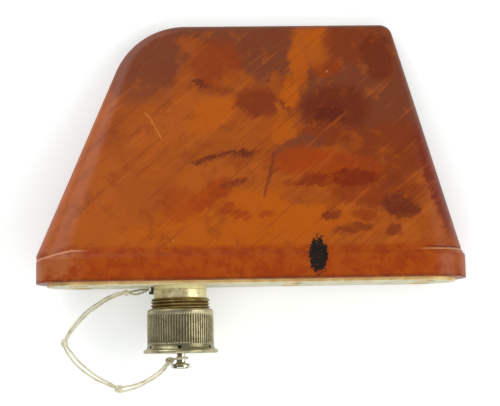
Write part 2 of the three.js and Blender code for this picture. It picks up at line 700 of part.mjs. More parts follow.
function wireHole(index) {
  const angle = ((index + 0.5) / WIRE_HOLES) * 2 * Math.PI;
  const start = capRadius() - FLUTE_DEPTH;
  const length = RIM_OVERHANG + WIRE_HOLE_DEPTH;
  const height = CAP_BODY_END - CAP_FLARE_LENGTH / 2;
  const hole = new THREE.CylinderGeometry(WIRE_HOLE_RADIUS, WIRE_HOLE_RADIUS, length, 8);
  hole.rotateZ(Math.PI / 2).translate(start + length / 2, 0, 0);
  return solid(hole.rotateZ(angle).translate(CONNECTOR_X, 0, height));
}

function capShell() {
  const body = capRadius();
  const rim = body + RIM_OVERHANG;
  const valley = body - 2 * FLUTE_DEPTH;
  const relief = THREAD_RADIUS + THREAD_GAP;
  const flutesTop = CAP_TOP - FLUTE_TOP_BAND;
  const flutesEnd = CAP_BODY_END + FLUTE_BOTTOM_BAND;
  const flareEnd = CAP_BODY_END - CAP_FLARE_LENGTH;
  const threadEnd = CAP_TOP - CAP_THREAD_LENGTH;
  const outside = turned([
    [0, CAP_BOTTOM], [rim - CAP_CHAMFER, CAP_BOTTOM], [rim, CAP_BOTTOM + CAP_CHAMFER],
    [rim, flareEnd + CAP_CHAMFER / 2], [rim - CAP_CHAMFER, flareEnd + CAP_CHAMFER], [body, CAP_BODY_END],
    [body, flutesEnd], [valley, flutesEnd], [valley, flutesTop], [body, flutesTop],
    [body, CAP_TOP - CAP_CHAMFER], [body - CAP_CHAMFER, CAP_TOP], [0, CAP_TOP],
  ], CONNECTOR_X, 0, 48);
  const threadZone = cylinder(capRadius(), threadEnd, CAP_TOP + PAST, CONNECTOR_X, 0, 24);
  const leadIn = turned([
    [0, CAP_TOP - THREAD_CHAMFER], [relief - THREAD_DEPTH, CAP_TOP - THREAD_CHAMFER],
    [relief + GAP / 2, CAP_TOP + GAP / 2], [0, CAP_TOP + GAP / 2],
  ], CONNECTOR_X, 0, 36);
  const holes = [];
  for (let i = 0; i < WIRE_HOLES; i++) holes.push(wireHole(i));
  return cut(
    join(outside, fluteBand()),
    threadedRod(THREAD_GAP).intersect(threadZone),
    cylinder(relief, CAP_FLOOR, threadEnd, CONNECTOR_X, 0, 36),
    leadIn,
    cylinder(POST_RADIUS + GAP, CAP_BOTTOM - PAST, CAP_FLOOR + PAST, CONNECTOR_X, 0, 16),
    ...holes,
  );
}

function capSeal() {
  const inner = SOCKET_RADIUS + GAP;
  return ring(inner, THREAD_RADIUS - THREAD_GAP, CAP_FLOOR + GAP, MOUTH - GAP, CONNECTOR_X, 0, 24);
}

function capPost() {
  const floor = CAP_FLOOR + GAP;
  const headTop = CAP_BOTTOM - POST_LENGTH;
  const headBottom = headTop - POST_HEAD_HEIGHT;
  const round = POST_HEAD_HEIGHT / 3;
  return turned([
    [0, headBottom], [POST_HEAD_RADIUS - round, headBottom], [POST_HEAD_RADIUS, headBottom + round],
    [POST_HEAD_RADIUS, headTop - round], [POST_HEAD_RADIUS - round, headTop], [POST_RADIUS, headTop],
    [POST_RADIUS, floor], [POST_RIVET_RADIUS, floor], [POST_RIVET_RADIUS, floor + POST_RIVET_HEIGHT],
    [0, floor + POST_RIVET_HEIGHT],
  ], CONNECTOR_X, 0, 16);
}

function tetherAnchor() {
  const neck = -2 * (CORD_RADIUS + GAP / 2) - GAP;
  const bottom = neck - ANCHOR_HEAD_HEIGHT;
  return turned([
    [0, bottom], [ANCHOR_HEAD_RADIUS, bottom], [ANCHOR_HEAD_RADIUS, neck], [ANCHOR_RADIUS, neck],
    [ANCHOR_RADIUS, ANCHOR_DEPTH], [0, ANCHOR_DEPTH],
  ], ANCHOR_X, ANCHOR_Y, 12);
}

// Cord
function cordTube(points) {
  const path = new THREE.CatmullRomCurve3(points);
  const section = [];
  for (let i = 0; i < CORD_SIDES; i++) {
    const angle = (i / CORD_SIDES) * 2 * Math.PI;
    section.push(new THREE.Vector2(CORD_RADIUS * Math.cos(angle), CORD_RADIUS * Math.sin(angle)));
  }
  const steps = Math.max(2, Math.round(path.getLength() / CORD_STEP));
  const settings = { steps, extrudePath: path, bevelEnabled: false };
  return solid(new THREE.ExtrudeGeometry(new THREE.Shape(section), settings));
}

// One strand of a span between two ties, beside the span's middle line and clear of the ties.
// The pair lies flat against the plate near it, and upright further away.
function strand(from, middle, to, side, clearFrom, clearTo, level) {
  const curve = new THREE.CatmullRomCurve3([from, ...middle, to].map((p) => new THREE.Vector3(...p)));
  const length = curve.getLength();
  const [first, last] = [clearFrom / length, 1 - clearTo / length];
  const count = Math.max(3, Math.round(length / CORD_STEP));
  const points = [];
  for (let i = 0; i <= count; i++) {
    const share = first + ((last - first) * i) / count;
    const along = curve.getTangentAt(share);
    const across = level ? [-along.y, along.x, 0] : [-along.z, 0, along.x];
    const offset = new THREE.Vector3(...across).setLength(side * STRAND_OFFSET);
    points.push(curve.getPointAt(share).add(offset));
  }
  return cordTube(points);
}

function knot([x, y, z]) {
  return solid(new THREE.SphereGeometry(KNOT_RADIUS, 10, 7).translate(x, y, z));
}

const core = foamCore();
add('radome_shell', radomeShell(), PAINT, 0.35, 0);
add('foam_core_front', core.front, FOAM, 0.9, 0);
add('foam_core_rear', core.rear, FOAM, 0.9, 0);
add('radiator_plate', radiatorPlate(), COPPER, 0.4, 1);
add('feed_block', feedBlock(), BRASS, 0.4, 1);
FEED_RIVET_PLACES.forEach((x, i) => {
  add(`feed_rivet_${i + 1}`, rivet(-FEED_WIDTH / 2, FEED_WIDTH / 2, x, FEED_RIVET_Z), BRASS, 0.4, 1);
});
add('ground_strap', groundStrap(), BRASS, 0.4, 1);
const strapRear = HALF_RADIATOR + GAP + STRAP_THICKNESS;
add('ground_rivet', rivet(-HALF_RADIATOR, strapRear, STRAP_X, STRAP_RIVET_Z), BRASS, 0.4, 1);
add('ground_screw', groundScrew(), STEEL, 0.35, 1);
add('base_plate', basePlate(), BRASS, 0.5, 1);
add('base_gasket', baseGasket(), RUBBER, 0.9, 0);
SCREW_PLACES.forEach(([x, y], i) => {
  add(`plate_screw_${i + 1}`, turned(screwProfile(0, SCREW_SUNK, SCREW_LENGTH), x, y, 12), STEEL, 0.4, 1);
  const insert = ring(SCREW_RADIUS + GAP, insertRadius(), CORE_BOTTOM, INSERT_TOP, x, y, 12);
  add(`plate_insert_${i + 1}`, insert, BRASS, 0.5, 1);
});
add('connector_body', connectorBody(), BRASS, 0.35, 1);
add('neck_seal', neckSeal(), RUBBER, 0.9, 0);
add('lock_washer', lockWasher(), STEEL, 0.4, 1);
add('connector_nut', connectorNut(), BRASS, 0.4, 1);
add('connector_insulator', connectorInsulator(), 0xe8e6dc, 0.6, 0);
add('centre_contact', centreContact(), BRASS, 0.3, 1);
add('socket_seal', socketSeal(), RUBBER, 0.9, 0);
add('cap_shell', capShell(), NICKEL, 0.4, 1);
add('cap_seal', capSeal(), RUBBER, 0.9, 0);
add('cap_post', capPost(), STEEL, 0.25, 1);
add('tether_anchor', tetherAnchor(), DARK, 0.5, 1);

const clear = KNOT_RADIUS + GAP;
const SPANS = [
  ['anchor_a', ANCHOR_TIE, SPAN_ANCHOR_A, KNOT_A, 0, clear, true],
  ['a_b', KNOT_A, SPAN_A_B, KNOT_B, clear, clear, false],
  ['b_c', KNOT_B, SPAN_B_C, KNOT_C, clear, clear, false],
  ['c_d', KNOT_C, SPAN_C_D, KNOT_D, clear, clear, false],
];
for (const [name, from, middle, to, clearFrom, clearTo, level] of SPANS) {
  for (const [letter, side] of [['left', -1], ['right', 1]]) {
    const tube = strand(from, middle, to, side, clearFrom, clearTo, level);
    add(`lanyard_${name}_${letter}`, tube, CORD, 0.8, 0);
  }
}
add('lanyard_loop', cordTube(POST_LOOP.map((p) => new THREE.Vector3(...p))), CORD, 0.8, 0);
add('knot_a', knot(KNOT_A), CORD, 0.8, 0);
add('knot_b', knot(KNOT_B), CORD, 0.8, 0);
add('knot_c', knot(KNOT_C), CORD, 0.8, 0);
add('knot_d', knot(KNOT_D), CORD, 0.8, 0);

export default antenna;
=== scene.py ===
import math

import bmesh
import bpy
import numpy as np
from mathutils import Matrix, Vector


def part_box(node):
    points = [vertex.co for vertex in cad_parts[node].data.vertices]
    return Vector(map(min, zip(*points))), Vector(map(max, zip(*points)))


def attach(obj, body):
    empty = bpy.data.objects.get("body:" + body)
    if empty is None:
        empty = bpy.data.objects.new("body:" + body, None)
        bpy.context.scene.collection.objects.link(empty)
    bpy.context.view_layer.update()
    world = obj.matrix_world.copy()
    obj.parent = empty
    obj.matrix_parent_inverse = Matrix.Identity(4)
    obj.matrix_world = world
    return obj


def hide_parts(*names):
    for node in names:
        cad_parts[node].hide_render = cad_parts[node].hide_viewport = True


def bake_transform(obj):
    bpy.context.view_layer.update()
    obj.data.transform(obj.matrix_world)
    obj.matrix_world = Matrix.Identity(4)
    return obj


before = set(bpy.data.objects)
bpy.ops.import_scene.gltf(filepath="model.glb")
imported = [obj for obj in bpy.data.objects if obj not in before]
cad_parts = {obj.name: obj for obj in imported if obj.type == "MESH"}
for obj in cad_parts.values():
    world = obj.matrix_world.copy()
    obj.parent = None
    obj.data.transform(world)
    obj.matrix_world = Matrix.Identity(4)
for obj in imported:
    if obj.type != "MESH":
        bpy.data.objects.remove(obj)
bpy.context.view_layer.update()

# Lengths in this script are millimetres, and become metres where a mesh, light or camera is made.
MM = 0.001
TURN = 2 * math.pi


# ---------------------------------------------------------------- sizes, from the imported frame

def box(node):
    """A CAD piece's lowest and highest corner, in millimetres."""
    low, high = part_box(node)
    return low / MM, high / MM


def middle(node):
    low, high = box(node)
    return (low + high) / 2


FOOT_LOW, FOOT_HIGH = box("radome_shell")
FOOT_REACH = FOOT_HIGH.x
FOOT_SIDE = FOOT_HIGH.y
PLATE_PROUD = FOOT_LOW.z
FIN_TIP = FOOT_HIGH.z
PLATE_HIGH = box("base_plate")[1]
PLATE_MARGIN = FOOT_REACH - PLATE_HIGH.x
PLATE_TOP = PLATE_HIGH.z

# Fin and foot
SKIRT_TOP = PLATE_PROUD + 6.5
SHOULDER_TOP = SKIRT_TOP + 0.8
FILLET_TOP = SHOULDER_TOP + 3.2
FIN_BASE = 10
LEAD_STEP = 0.2
TRAIL_STEP = 1.1
LEAD_RAKE = math.radians(22.8)
TRAIL_RAKE = math.radians(15.4)
LEAD_CORNER = 23.3
TRAIL_CORNER = 4.2
BASE_THICKNESS = 23.5
TIP_THICKNESS = 5
WALL = 2
FOOT_WALL = 3
LEDGE_WIDTH = 2
LEDGE_BOTTOM = 5.2
LEDGE_TOP = 8.2
RIM_ROUND = 0.35

# Moulding seam: its height at the trailing end, and its climb from the tip of the leading end
TRAIL_SEAM = 9.8
LEAD_SEAM = 7.6
LEAD_SEAM_CLIMB = 0.2
LEAD_SEAM_RUN = 12

# Connector and cap
AXIS_X = middle("cap_shell").x
NECK_LOW, NECK_HIGH = box("connector_body")
CAP_LOW, CAP_HIGH = box("cap_shell")
POST_LOW, POST_HIGH = box("cap_post")
THREAD_RADIUS = NECK_HIGH.x - AXIS_X
THREAD_DEPTH = 0.61
THREAD_PITCH = 1
THREAD_PLAY = 0.15
NECK_RADIUS = 8.05
NECK_BARE = 3.9
NECK_TOP = -1.2
POCKET_DEPTH = 0.3
NOSE = 2
SOCKET_RADIUS = 6.5
SOCKET_TOP = -3
SPIGOT_RADIUS = 6
SPIGOT_BORE = 4
CAP_BODY_RADIUS = 10.05
CAP_RIM_RADIUS = CAP_HIGH.x - AXIS_X
CAP_BODY_END = CAP_HIGH.z - 10.5
CAP_FLARE_END = CAP_BODY_END - 1.5
CAP_FLOOR = CAP_LOW.z + 2
CAP_THREAD_END = CAP_HIGH.z - 6.4
FLUTES = 76
FLUTE_DEPTH = 0.3
WIRE_HOLES = 6
WIRE_HOLE_RADIUS = 0.5
POST_RADIUS = 1.35
POST_HEAD_RADIUS = POST_HIGH.x - AXIS_X

# Cord
CORD_DIAMETER = 0.65
PATH_SPACING = 0.4


# ---------------------------------------------------------------- camera and light

CAMERA_TARGET = Vector((-0.2, 0, 25.2))
CAMERA_DISTANCE = 340
CAMERA_PITCH = math.radians(8)
CAMERA_YAW = math.radians(1.8)
CAMERA_ROLL = math.radians(-1.05)
CAMERA_LENS = 79.5


def aim(obj, place, target, roll=0.0):
    """Puts a camera or light at a place, looking at a target."""
    turn = (target - place).to_track_quat("-Z", "Y").to_matrix() @ Matrix.Rotation(roll, 3, "Z")
    obj.matrix_world = Matrix.Translation(place * MM) @ turn.to_4x4()
    bpy.context.scene.collection.objects.link(obj)


def make_camera():
    camera = bpy.data.objects.new("camera", bpy.data.cameras.new("camera"))
    camera.data.lens = CAMERA_LENS
    camera.data.clip_start = 0.01
    level = math.cos(CAMERA_PITCH)
    line = Vector((level * math.sin(CAMERA_YAW), level * math.cos(CAMERA_YAW), math.sin(CAMERA_PITCH)))
    aim(camera, CAMERA_TARGET - line * CAMERA_DISTANCE, CAMERA_TARGET, CAMERA_ROLL)
    bpy.context.scene.camera = camera


def soft_light(name, place, size, power, tint):
    data = bpy.data.lights.new(name, "AREA")
    data.shape = "RECTANGLE"
    data.size, data.size_y = size[0] * MM, size[1] * MM
    data.energy = power
    data.color = tint
    aim(bpy.data.objects.new(name, data), Vector(place), CAMERA_TARGET)


make_camera()
soft_light("left_softbox", (-400, -270, 480), (600, 700), 4.2, (0.99, 0.99, 1.0))
soft_light("right_softbox", (590, -340, -10), (500, 600), 2.6, (1.0, 0.985, 0.96))
soft_light("table_bounce", (0, -200, -300), (500, 300), 0.9, (1.0, 1.0, 0.98))


# ---------------------------------------------------------------- node trees as expressions

class Field:
    """An output of a node. Arithmetic on it adds Math nodes to its tree."""

    def __init__(self, graph, socket):
        self.graph = graph
        self.socket = socket

    def math(self, operation, *others):
        return self.graph.add("ShaderNodeMath", {"operation": operation}, [self, *others])

    def __add__(self, other):
        return self.math("ADD", other)

    def __sub__(self, other):
        return self.math("SUBTRACT", other)

    def __rsub__(self, other):
        return self.graph.add("ShaderNodeMath", {"operation": "SUBTRACT"}, [other, self])

    def __mul__(self, other):
        return self.math("MULTIPLY", other)

    def __truediv__(self, other):
        return self.math("DIVIDE", other)

    def __neg__(self):
        return self * -1

    def __abs__(self):
        return self.math("ABSOLUTE")

    __radd__ = __add__
    __rmul__ = __mul__

    def lower(self, other):
        return self.math("MINIMUM", other)

    def higher(self, other):
        return self.math("MAXIMUM", other)

    def step(self, start, end):
        """0 at start and beyond it, 1 at end, smooth between."""
        return self.graph.add(
            "ShaderNodeMapRange", {"interpolation_type": "SMOOTHSTEP"},
            {0: self, 1: start, 2: end, 3: 0, 4: 1},
        )


class Graph:
    """A node tree with one method that adds a node and returns one of its outputs."""

    def __init__(self, tree):
        self.tree = tree

    def add(self, kind, settings=None, inputs=(), output=0):
        node = self.tree.nodes.new(kind)
        for name, value in (settings or {}).items():
            setattr(node, name, value)
        pairs = inputs.items() if isinstance(inputs, dict) else enumerate(inputs)
        for key, value in pairs:
            self.feed(node.inputs[key], value)
        return Field(self, node.outputs[output])

    def feed(self, socket, value):
        if isinstance(value, Field):
            self.tree.links.new(value.socket, socket)
        else:
            socket.default_value = value

    def parts(self, vector):
        node = vector.graph.add("ShaderNodeSeparateXYZ", inputs=[vector]).socket.node
        return [Field(self, output) for output in node.outputs]

    def vector(self, x, y, z):
        return self.add("ShaderNodeCombineXYZ", inputs=[x, y, z])

    def vector_math(self, operation, *inputs):
        return self.add("ShaderNodeVectorMath", {"operation": operation}, list(inputs))

    def scaled(self, vector, factor):
        return self.add("ShaderNodeVectorMath", {"operation": "SCALE"}, {0: vector, "Scale": factor})

    def noise(self, vector, scale, detail=3.0, roughness=0.5, color=False, distortion=0.0):
        inputs = {"Vector": vector, "Scale": scale, "Detail": detail, "Roughness": roughness,
                  "Distortion": distortion}
        return self.add("ShaderNodeTexNoise", None, inputs, "Color" if color else "Fac")

    def cells(self, vector, scale, feature="F1", randomness=1.0):
        inputs = {"Vector": vector, "Scale": scale, "Randomness": randomness}
        return self.add("ShaderNodeTexVoronoi", {"feature": feature}, inputs, "Distance")

    def mix(self, factor, first, second):
        """A mix of two colours."""
        inputs = {0: factor, 6: first, 7: second}
        return self.add("ShaderNodeMix", {"data_type": "RGBA"}, inputs, 2)

    def coats(self, base, *layers):
        """A colour with others laid over it in turn, each through its mask."""
        for mask, tint in layers:
            base = self.mix(mask, base, tint)
        return base

    def push(self, place, scale, amount, detail=4, roughness=0.6):
        """A noise's shove in every direction, up to half the amount."""
        noise = self.noise(place, scale, detail, roughness, color=True)
        return self.scaled(self.vector_math("SUBTRACT", noise, (0.5, 0.5, 0.5)), amount)

    def bump(self, height, distance, strength=1.0):
        inputs = {"Height": height, "Distance": distance, "Strength": strength}
        return self.add("ShaderNodeBump", None, inputs)


def colour(red, green, blue):
    """A paint colour as seen, from 0 to 255, in the renderer's linear light."""
    def linear(value):
        share = value / 255
        return share / 12.92 if share <= 0.04045 else ((share + 0.055) / 1.055) ** 2.4
    return (linear(red), linear(green), linear(blue), 1.0)


class Finish:
    """A material with one Principled shader, and its coordinates in millimetres."""

    def __init__(self, name, **constants):
        self.material = bpy.data.materials.new(name)
        self.material.use_nodes = True
        self.graph = Graph(self.material.node_tree)
        self.shader = self.material.node_tree.nodes["Principled BSDF"]
        self.place = self.graph.scaled(self.graph.add("ShaderNodeTexCoord", output="Object"), 1 / MM)
        self.x, self.y, self.z = self.graph.parts(self.place)
        self.set(**constants)

    def set(self, **sockets):
        for name, value in sockets.items():
            self.graph.feed(self.shader.inputs[name.replace("_", " ").title().replace("Ior", "IOR")], value)

    def from_axis(self):
        """Distance from the connector's axis."""
        x = self.x - AXIS_X
        return (x * x + self.y * self.y).math("SQRT")

    def warped(self, scale, amount):
        """The place, pushed about by a noise."""
        return self.graph.vector_math("ADD", self.place, self.graph.push(self.place, scale, amount, 3, 0.5))


# ---------------------------------------------------------------- finishes

ENAMEL_GLOSS = 0.012


def veiled(red, green, blue):
    """The base colour that shows as the given one under the enamel's gloss."""
    *base, alpha = colour(red, green, blue)
    return (*[max(value - ENAMEL_GLOSS, 0.001) for value in base], alpha)


ORANGE = veiled(180, 90, 25)
AMBER = veiled(172, 88, 36)
TAWNY = veiled(160, 80, 35)
RUST = veiled(158, 68, 24)
RUSSET = veiled(145, 65, 32)
BURNT = veiled(125, 48, 20)
BROWN = veiled(130, 60, 35)
UMBER = veiled(122, 66, 45)
MAROON = veiled(110, 52, 36)
PLUM = veiled(100, 45, 35)
REAR_SHIFT = 1.3
BRUSH_LEAN = 0.72
BRUSH_STROKE = (0.045, 0.2, 0.62)

# Clouds of brushed paint on the fin's side: x, z, half width, half height, lean in degrees, colour, share.
PAINT_CLOUDS = [
    # broad areas
    (-45, 26, 15, 18, 15, AMBER, 0.8),
    (-30, 30, 12, 14, 20, TAWNY, 0.6),
    (-37, 47, 10, 9, 30, TAWNY, 0.9),
    (4, 75, 62, 15, 0, UMBER, 1),
    (-32, 68, 15, 12, 25, UMBER, 0.8),
    (38, 58, 25, 19, -10, UMBER, 1),
    (43, 40, 15, 9, 0, BROWN, 0.9),
    (38, 28, 15, 6, -6, BROWN, 0.9),
    (1, 20, 29, 8, 0, ORANGE, 1),
    (-10, 14, 34, 5, 0, ORANGE, 0.9),
    # upper left and middle
    (-18, 65, 7, 4, 60, TAWNY, 0.9),
    (-17, 74, 6, 3, -20, TAWNY, 0.9),
    (-10, 68, 8, 8, -30, RUSSET, 0.9),
    (-4, 61, 6, 5, 35, TAWNY, 0.9),
    (-8, 58, 6, 3, -20, BROWN, 0.9),
    (-15, 62, 3, 1, -10, MAROON, 0.9),
    (4, 55, 10, 5, -10, BROWN, 1),
    (9, 72, 4, 12, 0, UMBER, 1),
    (24, 67, 5, 4, 0, RUSSET, 0.9),
    # orange stripe from the tip and its tongue
    (20, 75, 7, 8, 0, AMBER, 1),
    (22, 77, 4, 4, 0, ORANGE, 0.9),
    (15, 67, 3, 8, 5, ORANGE, 0.9),
    (13, 58, 3, 6, 15, ORANGE, 1),
    (10, 51, 1.5, 5, 20, AMBER, 0.9),
    (8, 62, 2, 4, -10, TAWNY, 0.9),
    # upper right
    (32, 75, 9, 7, 0, BROWN, 0.8),
    (40, 70, 5, 9, 12, MAROON, 0.8),
    (26, 53, 11, 8, 0, MAROON, 1),
    (25, 51, 5, 4, 0, PLUM, 0.9),
    (24, 45, 10, 4, 5, BROWN, 0.9),
    # orange wedge and the brown under it
    (-22, 50, 18, 6, 25, AMBER, 1),
    (-12, 52, 8, 5, 30, ORANGE, 1),
    (7, 46, 9, 5, 30, TAWNY, 0.9),
    (10, 46, 4, 4, 30, ORANGE, 0.8),
    (14, 41, 9, 3, 15, UMBER, 0.9),
    (-11, 41, 8, 3, 15, TAWNY, 0.9),
    (-8, 38, 10, 1.5, 10, MAROON, 1),
    (20, 36, 15, 5, -5, RUST, 1),
    (32, 34, 8, 4, 0, RUST, 0.8),
    (24, 31, 15, 2, 5, BURNT, 0.8),
    (31, 31, 7, 3, 0, BURNT, 0.9),
    (29, 26, 11, 3, 0, RUSSET, 0.8),
    (16, 26, 9, 3, -5, TAWNY, 0.9),
    # lower left and middle
    (-14, 32, 12, 4, 25, AMBER, 0.9),
    (-22, 24, 5, 6, 30, RUST, 0.6),
    (-12, 27, 10, 3, 30, RUST, 1),
    (-5, 30, 4, 1.5, 15, BROWN, 0.9),
    (-1, 34, 10, 2, 15, AMBER, 0.8),
    (-7, 22, 3, 1.5, 30, RUST, 0.9),
    (-3, 20, 3, 1.5, -10, RUST, 0.9),
    (4, 20, 2, 1, 0, RUST, 0.8),
    # lower right
    (45, 22, 6, 4, -20, MAROON, 1),
    (24, 20, 3, 1.5, 0, BROWN, 0.9),
    (34, 20, 4, 1.5, -10, RUSSET, 0.9),
    (30, 16, 6, 2, 5, BROWN, 0.9),
    (42, 15, 3, 2, 0, BROWN, 0.9),
    (51, 17, 3, 3, 0, TAWNY, 0.8),
    (56, 30, 3, 18, 15, BURNT, 1),
]


def cloud(px, pz, x, z, wide, high, lean):
    """1 inside a leaning ellipse of the fin's side view, falling off softly at its rim."""
    cos, sin = math.cos(math.radians(lean)), math.sin(math.radians(lean))
    along = ((px - x) * cos + (pz - z) * sin) / wide
    across = ((pz - z) * cos - (px - x) * sin) / high
    reach = (along * along + across * across).math("SQRT")
    return reach.step(1.22, 0.7)


def make_paint():
    """Brushed and rubbed orange enamel with darker clouds, specks, a worn dab and fine scratches."""
    finish = Finish("orange_enamel", coat_roughness=0.15, coat_ior=1.5, ior=1.45, specular_ior_level=0.2)
    graph = finish.graph
    # the clouds on the rear are the front's, shifted along
    sheared = finish.x - (finish.y + abs(finish.y)) * REAR_SHIFT
    side = graph.vector(sheared, finish.y * 0.35, finish.z)
    # brush strokes lean up to the trailing edge, and drag the clouds' edges along with them
    turn = {"Vector": side, "Angle": BRUSH_LEAN}
    lean = graph.add("ShaderNodeVectorRotate", {"rotation_type": "Y_AXIS"}, turn)
    strokes = graph.vector_math("MULTIPLY", lean, BRUSH_STROKE)
    stroke = graph.noise(strokes, 1.0, 5, 0.6)
    drag = (graph.noise(strokes, 1.7, 4, 0.65) - 0.5) * 6
    place = graph.vector_math("ADD", side, graph.push(side, 0.18, 4.5))
    place = graph.vector_math("ADD", place, graph.push(side, 0.75, 2.4, roughness=0.65))
    px, _, pz = graph.parts(place)
    px, pz = px + drag * 0.75, pz + drag * 0.66
    base = graph.mix(stroke.step(0.35, 0.68), AMBER, TAWNY)
    for *ellipse, enamel, share in PAINT_CLOUDS:
        base = graph.mix(cloud(px, pz, *ellipse) * share, base, enamel)
    mottle = graph.noise(place, 0.16, 5, 0.65)
    grain = graph.noise(side, 1.9, 5, 0.7)
    base = graph.coats(
        base,
        (mottle.step(0.52, 0.66) * 0.4, BROWN),
        (mottle.step(0.48, 0.34) * 0.35, ORANGE),
        (stroke.step(0.56, 0.68) * 0.34, MAROON),
        (stroke.step(0.43, 0.31) * 0.3, veiled(190, 102, 46)),
        (grain.step(0.56, 0.75) * 0.3, veiled(98, 46, 26)),
        (grain.step(0.44, 0.28) * 0.2, veiled(204, 112, 50)),
    )
    base = skirt_coats(finish, side, base)
    # painted highlight and painted shade lines along the seam at the foot's ends
    base = seam_highlight_and_shade(finish, base)
    rim = finish.z.step(FIN_TIP - 2.4, FIN_TIP - 0.6)
    specks = graph.cells(side, 0.1).step(0.05, 0.025) * graph.noise(side, 0.1, 1, 0.5).step(0.48, 0.56)
    pits = graph.cells(graph.vector_math("ADD", side, (31.0, 0.0, 17.0)), 0.12).step(0.05, 0.025)
    base = graph.coats(
        base,
        (rim * 0.55, veiled(96, 62, 46)),
        (specks * 0.6, veiled(208, 144, 96)),
        (pits * 0.55, veiled(84, 42, 26)),
    )
    base = scratches(finish, sheared, base)
    dab = worn_dab(finish, side)
    base = graph.mix(dab, base, colour(20, 18, 15))
    finish.set(
        base_color=base,
        roughness=0.36 + grain * 0.16 + dab * 0.2,
        coat_weight=0.1 - dab * 0.05,
        normal=graph.bump(graph.noise(finish.place, 0.55, 3, 0.5) + stroke * 0.8 + dab * 0.15, 0.0001, 0.3),
    )
    return finish.material


def skirt_coats(finish, side, base):
    """The skirt's paint: redder and dirtier than the fin's, with a painted highlight in patches at both ends,
    dark at the rim.
    """
    graph = finish.graph
    skirt = finish.z.step(SHOULDER_TOP + 3.4, SHOULDER_TOP + 1.6)
    dirt = graph.noise(side, 0.22, 5, 0.7)
    # painted highlight on the foot's rounded ends, broken into patches by a noise
    ends = (finish.x.step(-47, -55) + finish.x.step(53, 58) * 0.6) * dirt.step(0.62, 0.42)
    edge = finish.z.step(PLATE_PROUD + 1.2, PLATE_PROUD + 0.2)
    edge = edge * graph.noise(side, 0.5, 4, 0.7).step(0.3, 0.5)
    return graph.coats(
        base,
        (skirt * 0.9, veiled(168, 78, 18)),
        (skirt * dirt.step(0.4, 0.6) * 0.8, veiled(150, 60, 15)),
        # painted highlight at both ends of the skirt
        (skirt * ends * 0.8, veiled(168, 96, 54)),
        (edge * 0.6, veiled(100, 50, 15)),
    )


def seam_highlight_and_shade(finish, base):
    """Painted highlight lines and painted shade lines along the ridge and groove of the moulding seam round
    each end of the foot.
    """
    trail = finish.x.step(47, 56)
    lead = finish.x.step(-47, -54)
    rise = (finish.x + FOOT_REACH).lower(LEAD_SEAM_RUN) * LEAD_SEAM_CLIMB + LEAD_SEAM
    return finish.graph.coats(
        base,
        # painted shade in the seam's groove and painted highlight on its ridge, at the trailing end and then
        # at the leading end
        (abs(finish.z - TRAIL_SEAM - 0.15).step(0.38, 0.1) * trail * 0.7, veiled(96, 44, 24)),
        (abs(finish.z - TRAIL_SEAM + 0.55).step(0.4, 0.1) * trail * 0.75, veiled(206, 146, 104)),
        (abs(finish.z - rise).step(0.4, 0.1) * lead * 0.75, veiled(214, 156, 116)),
        (abs(finish.z - rise - 1.5).step(0.3, 0.08) * lead * 0.4, veiled(120, 60, 32)),
    )


def line_mark(finish, x, start, end, shift, width):
    """1 on a thin line from one place (x, z) of the side view to another."""
    lean = (end[0] - start[0]) / (end[1] - start[1])
    away = abs(x - start[0] - (finish.z - start[1]) * lean + shift)
    low, high = min(start[1], end[1]), max(start[1], end[1])
    within = finish.z.step(low - 0.3, low + 0.5) * finish.z.step(high + 0.3, high - 0.5)
    return away.step(width, width * 0.3) * within


def scratches(finish, x, base):
    """A long dark run of paint, and a thin light scratch with a bend in it."""
    graph = finish.graph
    shift = (graph.noise(finish.place, 0.35, 2, 0.5) - 0.5) * 2
    front = finish.y.step(0, -1)
    dark = line_mark(finish, x, (3.9, 25.5), (7.4, 40), shift, 0.7) * front
    base = graph.mix(dark * 0.7, base, veiled(118, 58, 40))
    light = line_mark(finish, x, (-29, 48), (-31.8, 52.6), shift, 0.42)
    light = light + line_mark(finish, x, (-26.6, 44), (-29, 48), shift, 0.42)
    return graph.mix(light * front * 0.6, base, veiled(206, 122, 62))


def worn_dab(finish, side):
    """An upright oval dab of black paint low on the front, rubbed away in flakes."""
    graph = finish.graph
    x, _, z = graph.parts(side)
    ragged = (graph.noise(side, 0.9, 4, 0.7) - 0.5) * 1.6
    across = (x - 19.3) / 2.8
    up = (z - 7.8) / 5.6
    reach = (across * across + up * up).math("SQRT") + ragged
    flakes = graph.noise(side, 2.4, 5, 0.75).step(0.68, 0.56)
    return reach.step(1.05, 0.9) * flakes * finish.y.step(-4, -6)


def make_plate_metal():
    """Yellow passivated edge, and an underside coloured pale cream as a painted reflection of the table,
    rubbed grey with dark scuffs.
    """
    finish = Finish("passivated_plate", metallic=0.25)
    graph = finish.graph
    place = finish.warped(0.4, 3)
    under = finish.z.step(0.3, 0.02)
    patina = graph.noise(place, 0.2, 5, 0.6)
    gold = graph.mix(patina.step(0.35, 0.65), colour(252, 216, 146), colour(228, 186, 112))
    # painted reflection: the underside's pale cream stands for the pale table it mirrors
    cream = graph.mix(patina.step(0.4, 0.6), colour(230, 224, 190), colour(210, 203, 168))
    base = graph.mix(under, gold, cream)
    rub = graph.noise(graph.vector_math("MULTIPLY", place, (0.05, 0.6, 0.6)), 1.6, 5, 0.7)
    stain = graph.noise(place, 1.3, 4, 0.7).step(0.6, 0.75)
    base = graph.coats(
        base,
        (rub.step(0.58, 0.7) * under * 0.7, colour(104, 98, 78)),
        (stain * 0.5, colour(112, 88, 50)),
    )
    finish.set(
        base_color=base,
        roughness=0.34 + rub * 0.3 + stain * 0.15,
        normal=graph.bump(rub + patina * 0.5, 0.0001, 0.4),
    )
    return finish.material


